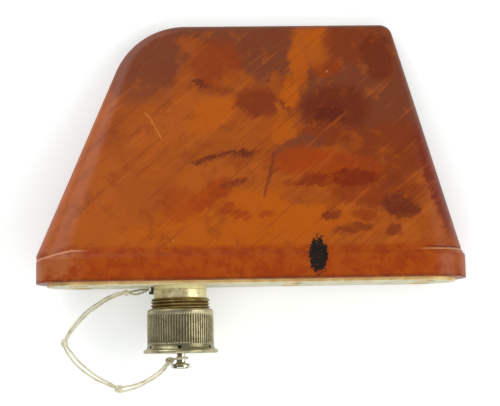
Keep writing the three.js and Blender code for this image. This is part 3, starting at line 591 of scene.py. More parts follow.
def make_neck_metal():
    """Cream-gold plating with dark spots, worn to brown brass on the thread."""
    finish = Finish("gold_passivated_neck", metallic=0.5)
    graph = finish.graph
    radius = finish.from_axis()
    blotch = graph.noise(finish.place, 0.5, 5, 0.65)
    base = graph.mix(blotch.step(0.35, 0.68), colour(255, 248, 204), colour(222, 206, 146))
    spots = graph.cells(finish.warped(1.4, 0.6), 1.1).step(0.3, 0.14)
    spots = spots * graph.noise(finish.place, 0.35, 2, 0.5).step(0.42, 0.58)
    threaded = finish.z.step(-NECK_BARE + 0.25, -NECK_BARE - 0.15)
    worn = graph.mix(blotch.step(0.4, 0.6), colour(196, 170, 100), colour(140, 112, 54))
    root = radius.step(THREAD_RADIUS - 0.12, THREAD_RADIUS - 0.5) * threaded
    base = graph.coats(
        base,
        (spots * 0.75, colour(112, 98, 56)),
        (threaded, worn),
        (root * 0.85, colour(78, 62, 28)),
    )
    finish.set(
        base_color=base,
        roughness=0.27 + blotch * 0.2 + spots * 0.2 + root * 0.2,
        normal=graph.bump(blotch + spots * 0.6, 0.00008, 0.5),
    )
    return finish.material


def make_nickel():
    """Dull warm nickel, bright on the rubbed crests and brown in the flutes, with painted shade inside the
    wire holes.
    """
    finish = Finish("dull_nickel", metallic=0.8)
    graph = finish.graph
    radius = finish.from_axis()
    haze = graph.noise(finish.place, 0.35, 5, 0.6)
    base = graph.mix(haze.step(0.35, 0.65), colour(194, 187, 150), colour(152, 145, 112))
    below_top = finish.z.step(CAP_HIGH.z - 1.1, CAP_HIGH.z - 1.5)
    fluted = below_top * finish.z.step(CAP_BODY_END, CAP_BODY_END + 0.4)
    groove = radius.step(CAP_BODY_RADIUS - 0.08, CAP_BODY_RADIUS - 0.26) * fluted
    crest = radius.step(CAP_BODY_RADIUS - 0.1, CAP_BODY_RADIUS) * fluted
    rubbed = graph.noise(finish.place, 1.5, 4, 0.7).step(0.42, 0.62)
    dirt = graph.cells(finish.warped(1.6, 0.5), 1.7).step(0.22, 0.1) * haze.step(0.45, 0.6)
    above_rim = finish.z.step(CAP_FLARE_END - 0.1, CAP_FLARE_END + 0.2)
    lower = finish.z.step(CAP_HIGH.z - 8, CAP_BODY_END) * above_rim
    # painted shade: the walls of the wire holes, inside the cap body's radius, are coloured near-black
    hole_shade = radius.step(CAP_BODY_RADIUS + 0.05, CAP_BODY_RADIUS - 0.1)
    hole_shade = hole_shade * finish.z.step(CAP_BODY_END, CAP_BODY_END - 0.2)
    hole_shade = hole_shade * finish.z.step(CAP_FLARE_END - 0.2, CAP_FLARE_END)
    base = graph.coats(
        base,
        (groove * 0.8, colour(88, 78, 50)),
        (crest * rubbed * 0.6, colour(222, 206, 166)),
        (dirt * 0.6, colour(84, 76, 52)),
        (lower * 0.45, colour(98, 90, 58)),
        # painted shade inside the wire holes
        (hole_shade * 0.9, colour(30, 27, 18)),
    )
    finish.set(
        base_color=base,
        roughness=0.24 + haze * 0.22 + groove * 0.2,
        normal=graph.bump(haze + dirt * 0.4, 0.00006, 0.5),
    )
    return finish.material


def make_metal(name, light, dark, roughness, grain, metallic=1.0):
    """A machined metal with tarnish in a noise of the given grain."""
    finish = Finish(name, metallic=metallic)
    graph = finish.graph
    tarnish = graph.noise(finish.place, grain, 4, 0.6)
    tool = graph.noise(graph.vector_math("MULTIPLY", finish.place, (1, 1, 14)), grain, 2, 0.5)
    base = graph.mix(tarnish.step(0.35, 0.7), light, dark)
    finish.set(
        base_color=base,
        roughness=roughness + tarnish * 0.18,
        normal=graph.bump(tool, 0.00004, 0.35),
    )
    return finish.material


def make_dull(name, light, dark, roughness, grain, depth=0.00006, sheen=0.0):
    """A dull soft or moulded stuff with a fine grain."""
    finish = Finish(name, metallic=0.0, sheen_weight=sheen)
    graph = finish.graph
    speckle = graph.noise(finish.place, grain, 5, 0.7)
    broad = graph.noise(finish.place, grain / 6, 2, 0.5)
    base = graph.mix(speckle.step(0.4, 0.7) * 0.6 + broad.step(0.4, 0.7) * 0.4, light, dark)
    finish.set(
        base_color=base,
        roughness=roughness + speckle * 0.12,
        normal=graph.bump(speckle, depth, 0.5),
    )
    return finish.material


def make_cord():
    """Waxed cream cord, a little grey where it has been handled."""
    finish = Finish("waxed_cord", subsurface_weight=0.25, subsurface_scale=0.0006)
    finish.shader.inputs["Subsurface Radius"].default_value = (1.0, 0.9, 0.6)
    graph = finish.graph
    grime = graph.noise(finish.place, 0.35, 4, 0.6)
    fibre = graph.noise(graph.vector_math("MULTIPLY", finish.warped(1.2, 1), (4, 4, 4)), 2.2, 3, 0.6)
    base = graph.mix(grime.step(0.4, 0.7), colour(240, 235, 204), colour(208, 198, 158))
    base = graph.mix(fibre.step(0.55, 0.8) * 0.35, base, colour(160, 148, 108))
    finish.set(
        base_color=base,
        roughness=0.42 + grime * 0.2,
        coat_weight=0.2,
        normal=graph.bump(fibre, 0.00004, 0.6),
    )
    return finish.material


PAINT = make_paint()
PLATE_METAL = make_plate_metal()
NECK_METAL = make_neck_metal()
NICKEL = make_nickel()
BRIGHT_STEEL = make_metal("bright_steel", colour(236, 232, 214), colour(150, 144, 120), 0.08, 1.2)
SCREW_STEEL = make_metal("screw_steel", colour(150, 146, 136), colour(84, 78, 66), 0.32, 1.4)
DARK_STEEL = make_metal("blackened_steel", colour(112, 110, 86), colour(62, 62, 46), 0.4, 1.1, 0.6)
BRASS = make_metal("brass", colour(214, 178, 104), colour(164, 124, 60), 0.3, 0.8)
COPPER = make_metal("copper_sheet", colour(206, 128, 88), colour(150, 78, 48), 0.32, 0.25)
FIBRE = make_dull("yellow_fibre", colour(240, 228, 172), colour(206, 192, 130), 0.5, 1.4)
RUBBER = make_dull("black_rubber", colour(46, 44, 42), colour(26, 24, 23), 0.62, 2.2)
WHITE_PLASTIC = make_dull("white_insulator", colour(232, 230, 220), colour(206, 200, 184), 0.42, 1.6)
FOAM = make_dull("rigid_foam", colour(226, 214, 176), colour(186, 168, 122), 0.78, 1.1, 0.0003)
CORD = make_cord()


# ---------------------------------------------------------------- meshes

def mesh_object(name, points, edges=(), faces=()):
    """A linked object whose mesh is made from points in millimetres."""
    mesh = bpy.data.meshes.new(name)
    mesh.from_pydata([tuple(p) for p in np.asarray(points, float) * MM], edges, faces)
    obj = bpy.data.objects.new(name, mesh)
    bpy.context.scene.collection.objects.link(obj)
    return obj


def build(name, points, faces, material, sharp=35):
    """A closed mesh piece from points in millimetres, with its doubles merged and its faces outwards."""
    obj = mesh_object(name, points, faces=faces)
    obj.data.materials.append(material)
    tidy(obj, sharp)
    return obj


def tidy(obj, sharp=35):
    """Merges doubles, turns the faces outwards and shades smooth up to an angle."""
    work = bmesh.new()
    work.from_mesh(obj.data)
    bmesh.ops.remove_doubles(work, verts=work.verts, dist=1e-6)
    bmesh.ops.dissolve_degenerate(work, edges=work.edges, dist=1e-7)
    bmesh.ops.recalc_face_normals(work, faces=work.faces)
    for face in work.faces:
        face.smooth = True
    work.to_mesh(obj.data)
    work.free()
    obj.data.set_sharp_from_angle(angle=math.radians(sharp))


def rings_to_faces(count, sides, closed):
    """Quads between rings of points that lie one after another."""
    faces = []
    for i in range(count if closed else count - 1):
        low, high = i * sides, ((i + 1) % count) * sides
        for j in range(sides):
            k = (j + 1) % sides
            faces.append((low + j, low + k, high + k, high + j))
    return faces


def rounded(corners, steps=4):
    """A profile whose corners [radius, height, rounding] are replaced by arcs."""
    points = []
    count = len(corners)
    for i, (r, z, size) in enumerate(corners):
        here = Vector((r, z))
        back = Vector(corners[i - 1][:2]) - here
        ahead = Vector(corners[(i + 1) % count][:2]) - here
        if size <= 0 or back.length < 1e-6 or ahead.length < 1e-6:
            points.append((r, z))
            continue
        angle = back.angle(ahead)
        leg = min(size / math.tan(angle / 2), back.length * 0.48, ahead.length * 0.48)
        start = here + back.normalized() * leg
        end = here + ahead.normalized() * leg
        for step in range(steps + 1):
            share = step / steps
            first = start.lerp(here, share)
            points.append(tuple(first.lerp(here.lerp(end, share), share)))
    return points


def turned(name, corners, material, sides=64, x=AXIS_X, y=0.0, steps=4, sharp=35):
    """A piece turned about an upright axis from a closed outline of [radius, height, rounding]."""
    profile = rounded(corners, steps)
    angles = [TURN * j / sides for j in range(sides)]
    points = [
        (x + r * math.cos(angle), y + r * math.sin(angle), z)
        for r, z in profile for angle in angles
    ]
    return build(name, points, rings_to_faces(len(profile), sides, True), material, sharp)


def rod(name, radius, low, high, material, sides, x=AXIS_X, y=0.0):
    """A plain upright rod, to cut a hole with."""
    outline = [(0, low, 0), (radius, low, 0), (radius, high, 0), (0, high, 0)]
    return turned(name, outline, material, sides, x, y)


def quarter(steps):
    """Sines and cosines at even steps through a quarter turn."""
    angles = [i / steps * math.pi / 2 for i in range(steps + 1)]
    return [(math.sin(angle), math.cos(angle)) for angle in angles]


def settled(obj):
    """Makes the result of an object's modifiers its own plain mesh."""
    graph = bpy.context.evaluated_depsgraph_get()
    mesh = bpy.data.meshes.new_from_object(obj.evaluated_get(graph))
    obj.modifiers.clear()
    obj.data = mesh
    return obj


class Recipe:
    """A Geometry Nodes tree with named inputs, which ends in Realize Instances and Set Material."""

    def __init__(self, name, inputs):
        self.tree = bpy.data.node_groups.new(name, "GeometryNodeTree")
        self.graph = Graph(self.tree)
        self.tree.interface.new_socket("Geometry", in_out="INPUT", socket_type="NodeSocketGeometry")
        self.tree.interface.new_socket("Geometry", in_out="OUTPUT", socket_type="NodeSocketGeometry")
        self.names = {}
        for label, value in inputs.items():
            kind = "NodeSocketInt" if isinstance(value, int) else "NodeSocketFloat"
            socket = self.tree.interface.new_socket(label, in_out="INPUT", socket_type=kind)
            socket.default_value = value
            self.names[label] = socket.identifier
        self.source = self.tree.nodes.new("NodeGroupInput")

    def input(self, label):
        return Field(self.graph, self.source.outputs[label])

    def given(self):
        """The geometry that the recipe is used on."""
        return Field(self.graph, self.source.outputs[0])

    def angle(self, x, y):
        return self.graph.add("ShaderNodeMath", {"operation": "ARCTAN2"}, [y, x])

    def finish(self, geometry, material):
        real = self.graph.add("GeometryNodeRealizeInstances", inputs=[geometry])
        done = self.graph.add("GeometryNodeSetMaterial", None, {"Geometry": real, "Material": material})
        output = self.tree.nodes.new("NodeGroupOutput")
        self.tree.links.new(done.socket, output.inputs[0])

    def use(self, obj, **values):
        modifier = obj.modifiers.new(self.tree.name, "NODES")
        modifier.node_group = self.tree
        for label, value in values.items():
            modifier[self.names[label.replace("_", " ")]] = value
        return settled(obj)

    def polar(self):
        """Angle about the connector's axis, distance from it and height, in millimetres."""
        graph = self.graph
        x, y, z = graph.parts(graph.scaled(graph.add("GeometryNodeInputPosition"), 1 / MM))
        x = x - AXIS_X
        return self.angle(x, y), (x * x + y * y).math("SQRT"), z

    def sunk(self, angle, depth):
        """The given geometry with its points moved towards the connector's axis by a depth."""
        graph = self.graph
        inward = graph.vector(angle.math("COSINE"), angle.math("SINE"), 0)
        offset = graph.scaled(inward, depth * -MM)
        return graph.add("GeometryNodeSetPosition", None, {"Geometry": self.given(), "Offset": offset})


def thread_recipe(material):
    """Cuts a right-hand thread into a turned surface between two heights and two radii."""
    recipe = Recipe("screw_thread", {
        "Pitch": 1.0, "Depth": 0.6, "Start": 0.0, "Top": 0.0, "Bottom": -1.0, "Inner radius": 0.0,
        "Outer radius": 1.0,
    })
    angle, radius, z = recipe.polar()
    phase = (z - recipe.input("Start")) / recipe.input("Pitch") - angle / TURN
    ridge = 1 - abs(phase.math("FRACT") * 2 - 1)
    flank = ((ridge - 0.12) / 0.7).higher(0).lower(1)
    band = (recipe.input("Top") - z).step(0.0, 0.45) * (z - recipe.input("Bottom")).step(0.0, 0.45)
    shell = (radius - recipe.input("Inner radius")).step(0, 0.01)
    shell = shell * (recipe.input("Outer radius") - radius).step(0, 0.01)
    depth = flank * band * shell * recipe.input("Depth")
    recipe.finish(recipe.sunk(angle, depth), material)
    return recipe


def flute_recipe(material):
    """Cuts straight flutes round a turned surface, with ends that run out."""
    recipe = Recipe("grip_flutes", {
        "Count": 60, "Depth": 0.3, "Top": 0.0, "Bottom": -1.0, "Inner radius": 0.0,
    })
    angle, radius, z = recipe.polar()
    wave = (angle * recipe.input("Count")).math("COSINE") * 0.5 + 0.5
    groove = (wave * 1.5 - 0.25).higher(0).lower(1)
    band = (recipe.input("Top") - z).step(0.0, 0.5) * (z - recipe.input("Bottom")).step(0.0, 0.5)
    depth = groove * band * (radius - recipe.input("Inner radius")).step(0, 0.01) * recipe.input("Depth")
    recipe.finish(recipe.sunk(angle, depth), material)
    return recipe


# ---------------------------------------------------------------- cord

ANCHOR_TIE = (-31.8, 4.0, -0.65)
KNOTS = {
    "a": (-38.2, 0.3, -1.75),
    "b": (-57.3, 3.0, -16.6),
    "c": (-40.9, 3.5, -30.7),
    "d": (-25.3, 0.0, -22.5),
}
KNOT_RADII = {"a": 1.05, "b": 1.35, "c": 1.4, "d": 1.4}
# Each knot is three loops, one in another: their leans and their sizes as shares of the knot.
KNOT_LOOPS = ((0, 1), (1.05, 0.72), (0.5, 0.35))
SPAN_ANCHOR_A = [(-34, 2.9, -0.8), (-36.2, 1.5, -1.3)]
SPAN_A_B = [
    (-40.4, 0.5, -2.1), (-43.9, 1.0, -3.4), (-47.4, 1.5, -5.5), (-50.9, 2.0, -8.0), (-53.7, 2.4, -11.0),
    (-55.7, 2.7, -13.5), (-56.8, 2.9, -15.4),
]
SPAN_B_C = [
    (-56.5, 3.3, -18.5), (-55.2, 3.6, -20.4), (-53.6, 3.9, -22.5), (-50.8, 4.1, -25.0), (-47.4, 4.0, -27.4),
    (-44.1, 3.8, -29.0),
]
SPAN_C_D = [(-39.3, 3.4, -30.7), (-35.8, 2.8, -29.9), (-32.4, 2.0, -28.5), (-28.0, 0.8, -25.7)]
# The right strand goes on round the post and comes back to the last knot.
POST_LOOP = [
    (-23.8, 0.95, -22.0), (-23.1, 1.55, -21.85), (-21.9, 1.98, -21.75), (-20.5, 1.4, -21.7),
    (-19.92, 0.0, -21.7), (-20.5, -1.4, -21.7), (-21.9, -1.98, -21.75), (-23.1, -1.55, -21.85),
    (-23.8, -0.95, -22.0),
]


def smooth_path(points, spacing):
    """Points evenly spaced along a smooth curve through the given ones."""
    p = np.array(points, float)
    ends = [2 * p[0] - p[1], *p, 2 * p[-1] - p[-2]]
    line = []
    for a, b, c, d in zip(ends, ends[1:], ends[2:], ends[3:]):
        for t in np.linspace(0, 1, 24, endpoint=False):
            line.append(0.5 * (2 * b + (c - a) * t + (2 * a - 5 * b + 4 * c - d) * t**2
                               + (3 * b - a - 3 * c + d) * t**3))
    line = np.array([*line, p[-1]])
    along = np.concatenate([[0], np.cumsum(np.linalg.norm(np.diff(line, axis=0), axis=1))])
    at = np.linspace(0, along[-1], max(2, round(along[-1] / spacing) + 1))
    return np.stack([np.interp(at, along, line[:, k]) for k in range(3)], axis=1)


def apart(span, share):
    """Half the distance between the two strands along a span, in millimetres."""
    if span == 0:
        return 0.22 + 0.3 * (1 - share)
    if span == 1:
        return 0.3 + 0.12 * math.sin(share * math.pi)
    if span == 2:
        return 0.25 + 0.4 * math.sin(share**0.66 * math.pi)
    swell = 0.45 * abs(math.cos(share * math.pi)) * (1 - share)
    return 0.25 + swell + 0.25 * math.sin(share * math.pi) ** 2 * share


def strand_path(side):
    """One strand's centre line: beside the other between the knots, and drawn together at each knot."""
    path = []
    stops = [ANCHOR_TIE, *KNOTS.values()]
    for i, span in enumerate([SPAN_ANCHOR_A, SPAN_A_B, SPAN_B_C, SPAN_C_D]):
        line = smooth_path([stops[i], *span, stops[i + 1]], PATH_SPACING)
        tangent = np.gradient(line, axis=0)
        if i == 0:
            flat = np.stack([tangent[:, 1], -tangent[:, 0], np.zeros(len(line))], axis=1)
        else:
            flat = np.stack([-tangent[:, 2], np.zeros(len(line)), tangent[:, 0]], axis=1)
        flat /= np.linalg.norm(flat, axis=1, keepdims=True)
        share = np.linspace(0, 1, len(line))
        offset = np.array([side * apart(i, part) for part in share])
        line = line + flat * offset[:, None]
        line[:, 1] += 0.12 * side * np.sin(share * TURN)
        if i == 0 and side < 0:
            # this strand hangs slack below the other
            line[:, 2] -= 1.1 * np.sin(share * math.pi)
        path.extend(line if i == 0 else line[1:])
    return np.array(path)


def tube_recipe(material):
    """Three plies laid up round a curve: a lobed section that turns as it goes."""
    recipe = Recipe("laid_cord", {"Radius": 0.3, "Lay": 1.6, "Sides": 15, "Lobe": 0.13})
    graph = recipe.graph
    curve = graph.add("GeometryNodeMeshToCurve", inputs=[recipe.given()])
    travel = graph.add("GeometryNodeSplineParameter", output="Length")
    tilt = travel / MM / recipe.input("Lay") * TURN
    tilted = graph.add("GeometryNodeSetCurveTilt", None, {"Curve": curve, "Tilt": tilt})
    ring = graph.add("GeometryNodeCurvePrimitiveCircle", {"mode": "RADIUS"},
                     {"Resolution": recipe.input("Sides"), "Radius": recipe.input("Radius") * MM})
    x, y, _ = graph.parts(graph.add("GeometryNodeInputPosition"))
    lobe = 1 + (recipe.angle(x, y) * 3).math("COSINE") * recipe.input("Lobe")
    place = graph.scaled(graph.add("GeometryNodeInputPosition"), lobe)
    section = graph.add("GeometryNodeSetPosition", None, {"Geometry": ring, "Position": place})
    tube = graph.add("GeometryNodeCurveToMesh", None,
                     {"Curve": tilted, "Profile Curve": section, "Fill Caps": True})
    recipe.finish(tube, material)
    return recipe


def laid_cord(name, paths, recipe, closed=False):
    """Cords along paths in millimetres, as one piece."""
    points, edges = [], []
    for path in paths:
        first, count = len(points), len(path)
        edges += [(first + i, first + (i + 1) % count) for i in range(count if closed else count - 1)]
        points += list(path)
    obj = mesh_object(name, points, edges)
    recipe.use(obj, Radius=CORD_DIAMETER / 2 * 1.06)
    tidy(obj, 80)
    return obj


def knot_path(centre, lean, size):
    """One loop of a tight overhand knot about a point."""
    t = np.linspace(0, TURN, 72, endpoint=False)
    line = np.stack([
        np.sin(t) + 2 * np.sin(2 * t), 0.9 * np.sin(3 * t) * 1.2, np.cos(t) - 2 * np.cos(2 * t),
    ], axis=1) * size / 3
    turn = np.array(Matrix.Rotation(lean, 3, "Y") @ Matrix.Rotation(0.5, 3, "X"))
    return line @ turn.T + np.array(centre)


def make_lanyard():
    recipe = tube_recipe(CORD)
    knots = [
        laid_cord(
            f"overhand_knot_{name}",
            [knot_path(place, 0.7 * i + lean, (KNOT_RADII[name] - CORD_DIAMETER * 0.5) * size)
             for lean, size in KNOT_LOOPS],
            recipe, closed=True,
        )
        for i, (name, place) in enumerate(KNOTS.items())
    ]
    left_path = strand_path(-1)
    right_path = np.concatenate([strand_path(1), smooth_path(POST_LOOP, PATH_SPACING)])
    left = laid_cord("lanyard_left_strand", [left_path], recipe)
    right = laid_cord("lanyard_right_strand", [right_path], recipe)
    spans = ["anchor_a", "a_b", "b_c", "c_d"]
    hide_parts(*[f"lanyard_{span}_left" for span in spans])
    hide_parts(*[f"lanyard_{span}_right" for span in spans], "lanyard_loop")
    for (name, _), piece in zip(KNOTS.items(), knots):
        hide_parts(f"knot_{name}")
    for piece in [left, right, *knots]:
        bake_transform(piece)


make_lanyard()


# ---------------------------------------------------------------- fin and foot

class Edge:
    """A raked edge of the fin: a straight line up from the foot, then a round corner into the tip."""

    def __init__(self, side, rake, step, corner):
        self.side = side
        self.slope = math.cos(rake)
        self.normal = (side * math.cos(rake), math.sin(rake))
        self.foot = (side * (FOOT_REACH - step), FIN_BASE)
        self.corner = corner
        rise = FIN_TIP - corner - FIN_BASE
        self.middle = (self.foot[0] - (corner + rise * self.normal[1]) / self.normal[0], FIN_TIP - corner)

    def at(self, z, inset):
        """X of the edge at a height, drawn in by an inset."""
        radius = max(self.corner - inset, 0)
        above = z - self.middle[1]
        if radius > 0 and above > radius * self.normal[1]:
            return self.middle[0] + self.side * math.sqrt(max(radius**2 - above**2, 0))
        return self.foot[0] - ((z - self.foot[1]) * self.normal[1] + inset) / self.normal[0]

    def depth(self, x, z):
        """How deep a point lies inside the edge."""
        dx, dz = x - self.middle[0], z - self.middle[1]
        past = dz * abs(self.normal[0]) - self.side * dx * self.normal[1] > 0
        if self.side * dx > 0 and past:
            return self.corner - math.hypot(dx, dz)
        return (self.foot[0] - x) * self.normal[0] + (self.foot[1] - z) * self.normal[1]


LEADING = Edge(-1, LEAD_RAKE, LEAD_STEP, LEAD_CORNER)
TRAILING = Edge(1, TRAIL_RAKE, TRAIL_STEP, TRAIL_CORNER)
END_COLUMNS = 18
SIDE_COLUMNS = 40
HALVINGS = 40


def blend_to(a, b, share):
    return a + (b - a) * share


def arch(x):
    return math.sqrt(max(1 - x * x, 0))


def foot_share(z):
    """1 on the skirt, 0 on the fin, with a convex and then a concave step between."""
    if z <= SKIRT_TOP:
        return 1.0
    if z <= SHOULDER_TOP:
        return 0.5 + 0.5 * arch((z - SKIRT_TOP) / (SHOULDER_TOP - SKIRT_TOP))
    if z >= FILLET_TOP:
        return 0.0
    return 0.5 - 0.5 * arch((FILLET_TOP - z) / (FILLET_TOP - SHOULDER_TOP))


def fin_ring(z, inset, share):
    """The fin's level outline at a height, as a closed ring of points."""
    left = max(blend_to(LEADING.at(z, inset), -FOOT_REACH, share), -FOOT_REACH)
    right = min(blend_to(TRAILING.at(z, inset), FOOT_REACH, share), FOOT_REACH)
    rise = (z - FIN_BASE) / (FIN_TIP - FIN_BASE)
    radius = blend_to(blend_to(BASE_THICKNESS, TIP_THICKNESS, rise) / 2 - inset, FOOT_SIDE, share)
    slopes = [blend_to(edge.slope, 1, share) for edge in (LEADING, TRAILING)]

    def depth(x):
        if share > 0:
            return min((x - left) * slopes[0], (right - x) * slopes[1])
        return min(FIN_TIP - z, LEADING.depth(x, z), TRAILING.depth(x, z)) - inset

    ring = outline_ring(z, left, right, radius, depth)
    return [sunk_seam(*point) for point in ring] if share < 1 else ring


def eased(value, start, end):
    """0 at start and beyond it, 1 at end, smooth between."""
    share = min(max((value - start) / (end - start), 0), 1)
    return share * share * (3 - 2 * share)


def sunk_seam(x, y, z):
    """A point of the outside, sunk where the fine moulding seam runs round an end of the foot."""
    if x > 0:
        depth = 0.22 * eased(x, 47, 55) * math.exp(-((z - TRAIL_SEAM) / 0.35) ** 2)
    else:
        line = LEAD_SEAM + LEAD_SEAM_CLIMB * min(x + FOOT_REACH, LEAD_SEAM_RUN)
        above, below = (z - line - 0.6) / 0.3, (z - line + 0.5) / 0.25
        depth = 0.13 * eased(x, -47, -54) * (math.exp(-above * above) + math.exp(-below * below))
    centre = math.copysign(FOOT_REACH - FOOT_SIDE, x)
    out = Vector((x - centre, y))
    if depth < 0.001 or out.length < 1:
        return (x, y, z)
    out = out.normalized() * depth
    return (x - out.x, y - out.y, z)


def foot_ring(z, margin):
    """The foot's round-ended outline at a height, drawn in by a margin."""
    left, right = margin - FOOT_REACH, FOOT_REACH - margin
    return outline_ring(z, left, right, FOOT_SIDE - margin, lambda x: min(x - left, right - x))


def outline_ring(z, left, right, radius, depth):
    """A level ring that is round at both ends, where the depth inside the outline is under the radius."""
    centre = (left + right) / 2
    full = min(radius, depth(centre)) * (1 - 1e-6)
    columns = []
    for end in (left, right):
        outside, inside = end, centre
        for _ in range(HALVINGS):
            x = (outside + inside) / 2
            outside, inside = (x, inside) if depth(x) < full else (outside, x)
        half = []
        for i in range(END_COLUMNS + 1):
            x = end + (inside - end) * (1 - math.cos(i / END_COLUMNS * math.pi / 2))
            d = min(max(depth(x), 0), radius)
            half.append((x, 0 if i == 0 or radius <= 0 else radius * arch(1 - d / radius)))
        columns.append(half)
    first, last = columns
    inner = [
        (blend_to(first[-1][0], last[-1][0], i / SIDE_COLUMNS), first[-1][1])
        for i in range(1, SIDE_COLUMNS)
    ]
    row = [*first, *inner, *reversed(last)]
    return [(x, -y, z) for x, y in row] + [(x, y, z) for x, y in reversed(row[1:-1])]


def fin_heights(inset, bottom):
    """Heights of the fin's rings: even on the straight part, closer round the corners and the tip."""
    top = FIN_TIP - inset
    heights = list(np.linspace(bottom, LEADING.middle[1], 14))
    tip_radius = TIP_THICKNESS / 2 - inset
    for i in range(1, 15):
        heights.append(LEADING.middle[1] + (LEAD_CORNER - inset) * math.sin(i / 15 * math.pi / 2))
    for _, cos in quarter(10):
        heights.append(top - tip_radius * (1 - cos))
    return sorted(set(round(float(z), 5) for z in heights))


def make_radome():
    """The moulded shell: outside, rim, recess for the plate, ledge and the hollow of the fin."""
    rings = []
    for z in reversed(fin_heights(WALL, LEDGE_TOP)):
        rings.append(fin_ring(z, WALL, 0))
    rings.append(foot_ring(LEDGE_TOP, FOOT_WALL + LEDGE_WIDTH))
    rings.append(foot_ring(LEDGE_BOTTOM, FOOT_WALL + LEDGE_WIDTH))
    rings.append(foot_ring(LEDGE_BOTTOM, FOOT_WALL))
    for sin, cos in quarter(4):
        rings.append(foot_ring(PLATE_PROUD + RIM_ROUND * (1 - sin), FOOT_WALL + RIM_ROUND * (1 - cos)))
    for sin, cos in quarter(5):
        rings.append(foot_ring(PLATE_PROUD + RIM_ROUND * (1 - cos), RIM_ROUND * (1 - sin)))
    skirt = list(np.linspace(PLATE_PROUD + 1.2, SKIRT_TOP, 4))
    shoulder = [SKIRT_TOP + (SHOULDER_TOP - SKIRT_TOP) * sin for sin, _ in quarter(7)[1:]]
    fillet = list(np.linspace(SHOULDER_TOP, FILLET_TOP, 22))[1:]
    for z in skirt + shoulder + fillet:
        rings.append(fin_ring(z, 0, foot_share(z)))
    for z in fin_heights(0, FILLET_TOP)[1:]:
        rings.append(fin_ring(z, 0, 0))
    points = [point for ring in rings for point in ring]
    faces = rings_to_faces(len(rings), len(rings[0]), False)
    shell = build("radome", points, faces, PAINT, 50)
    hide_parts("radome_shell")
    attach(shell, "antenna")


make_radome()


# ---------------------------------------------------------------- base plate and its screws

SCREW_PLACES = [middle(f"plate_screw_{i + 1}") for i in range(6)]
SCREW_LOW, SCREW_HIGH = box("plate_screw_1")
SCREW_HEAD = (SCREW_HIGH.x - SCREW_LOW.x) / 2
SCREW_SHANK = 1.5
SCREW_HEAD_HEIGHT = 1.4
SCREW_SUNK = 0.2
SCREW_PLAY = 0.25
PLATE_ROUND = 0.25
# Heights below the plate and above it, for tools that cut right through.
TOOL_LOW = -1
TOOL_HIGH = 9


def drilled(obj, holes):
    """Cuts tools out of a piece and throws the tools away."""
    for hole in holes:
        cutter = obj.modifiers.new(hole.name, "BOOLEAN")
        cutter.operation = "DIFFERENCE"
        cutter.solver = "EXACT"
        cutter.object = hole
    settled(obj)
    for hole in holes:
        bpy.data.objects.remove(hole)
    return obj


def make_plate():
    rings = []
    for sin, cos in quarter(4):
        rings.insert(0, foot_ring(PLATE_ROUND * (1 - sin), PLATE_MARGIN + PLATE_ROUND * (1 - cos)))
    rings = sorted(rings, key=lambda ring: ring[0][2])
    rings.append(foot_ring(PLATE_TOP, PLATE_MARGIN))
    sides = len(rings[0])
    points = [point for ring in rings for point in ring]
    faces = rings_to_faces(len(rings), sides, False)
    top = (len(rings) - 1) * sides
    half = sides // 2
    for start in (0, top):
        faces.append((start, start + 1, start + sides - 1))
        for j in range(1, half - 1):
            faces.append((start + j, start + j + 1, start + sides - j - 1, start + sides - j))
        faces.append((start + half - 1, start + half, start + half + 1))
    plate = build("mounting_plate", points, faces, PLATE_METAL, 30)
    anchor, screw = middle("tether_anchor"), middle("ground_screw")
    holes = [
        rod("bore", SPIGOT_RADIUS + 0.3, TOOL_LOW, TOOL_HIGH, PLATE_METAL, 64),
        rod("pocket", NECK_RADIUS + 0.1, TOOL_LOW, POCKET_DEPTH, PLATE_METAL, 96),
    ]
    wide, narrow = SCREW_HEAD + SCREW_PLAY, SCREW_SHANK + SCREW_PLAY
    for place in SCREW_PLACES:
        holes.append(turned(
            "countersink",
            [(0, TOOL_LOW, 0), (wide, TOOL_LOW, 0), (wide, SCREW_SUNK, 0),
             (narrow, SCREW_SUNK + SCREW_HEAD_HEIGHT, 0), (narrow, TOOL_HIGH, 0), (0, TOOL_HIGH, 0)],
            PLATE_METAL, 32, place.x, place.y,
        ))
    holes.append(rod("anchor_hole", 0.8, TOOL_LOW, 3.3, PLATE_METAL, 24, anchor.x, anchor.y))
    holes.append(rod("strap_hole", 1.4, 1.3, TOOL_HIGH, PLATE_METAL, 24, screw.x, screw.y))
    drilled(plate, holes)
    plate.data.set_sharp_from_angle(angle=math.radians(30))
    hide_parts("base_plate")
    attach(plate, "antenna")


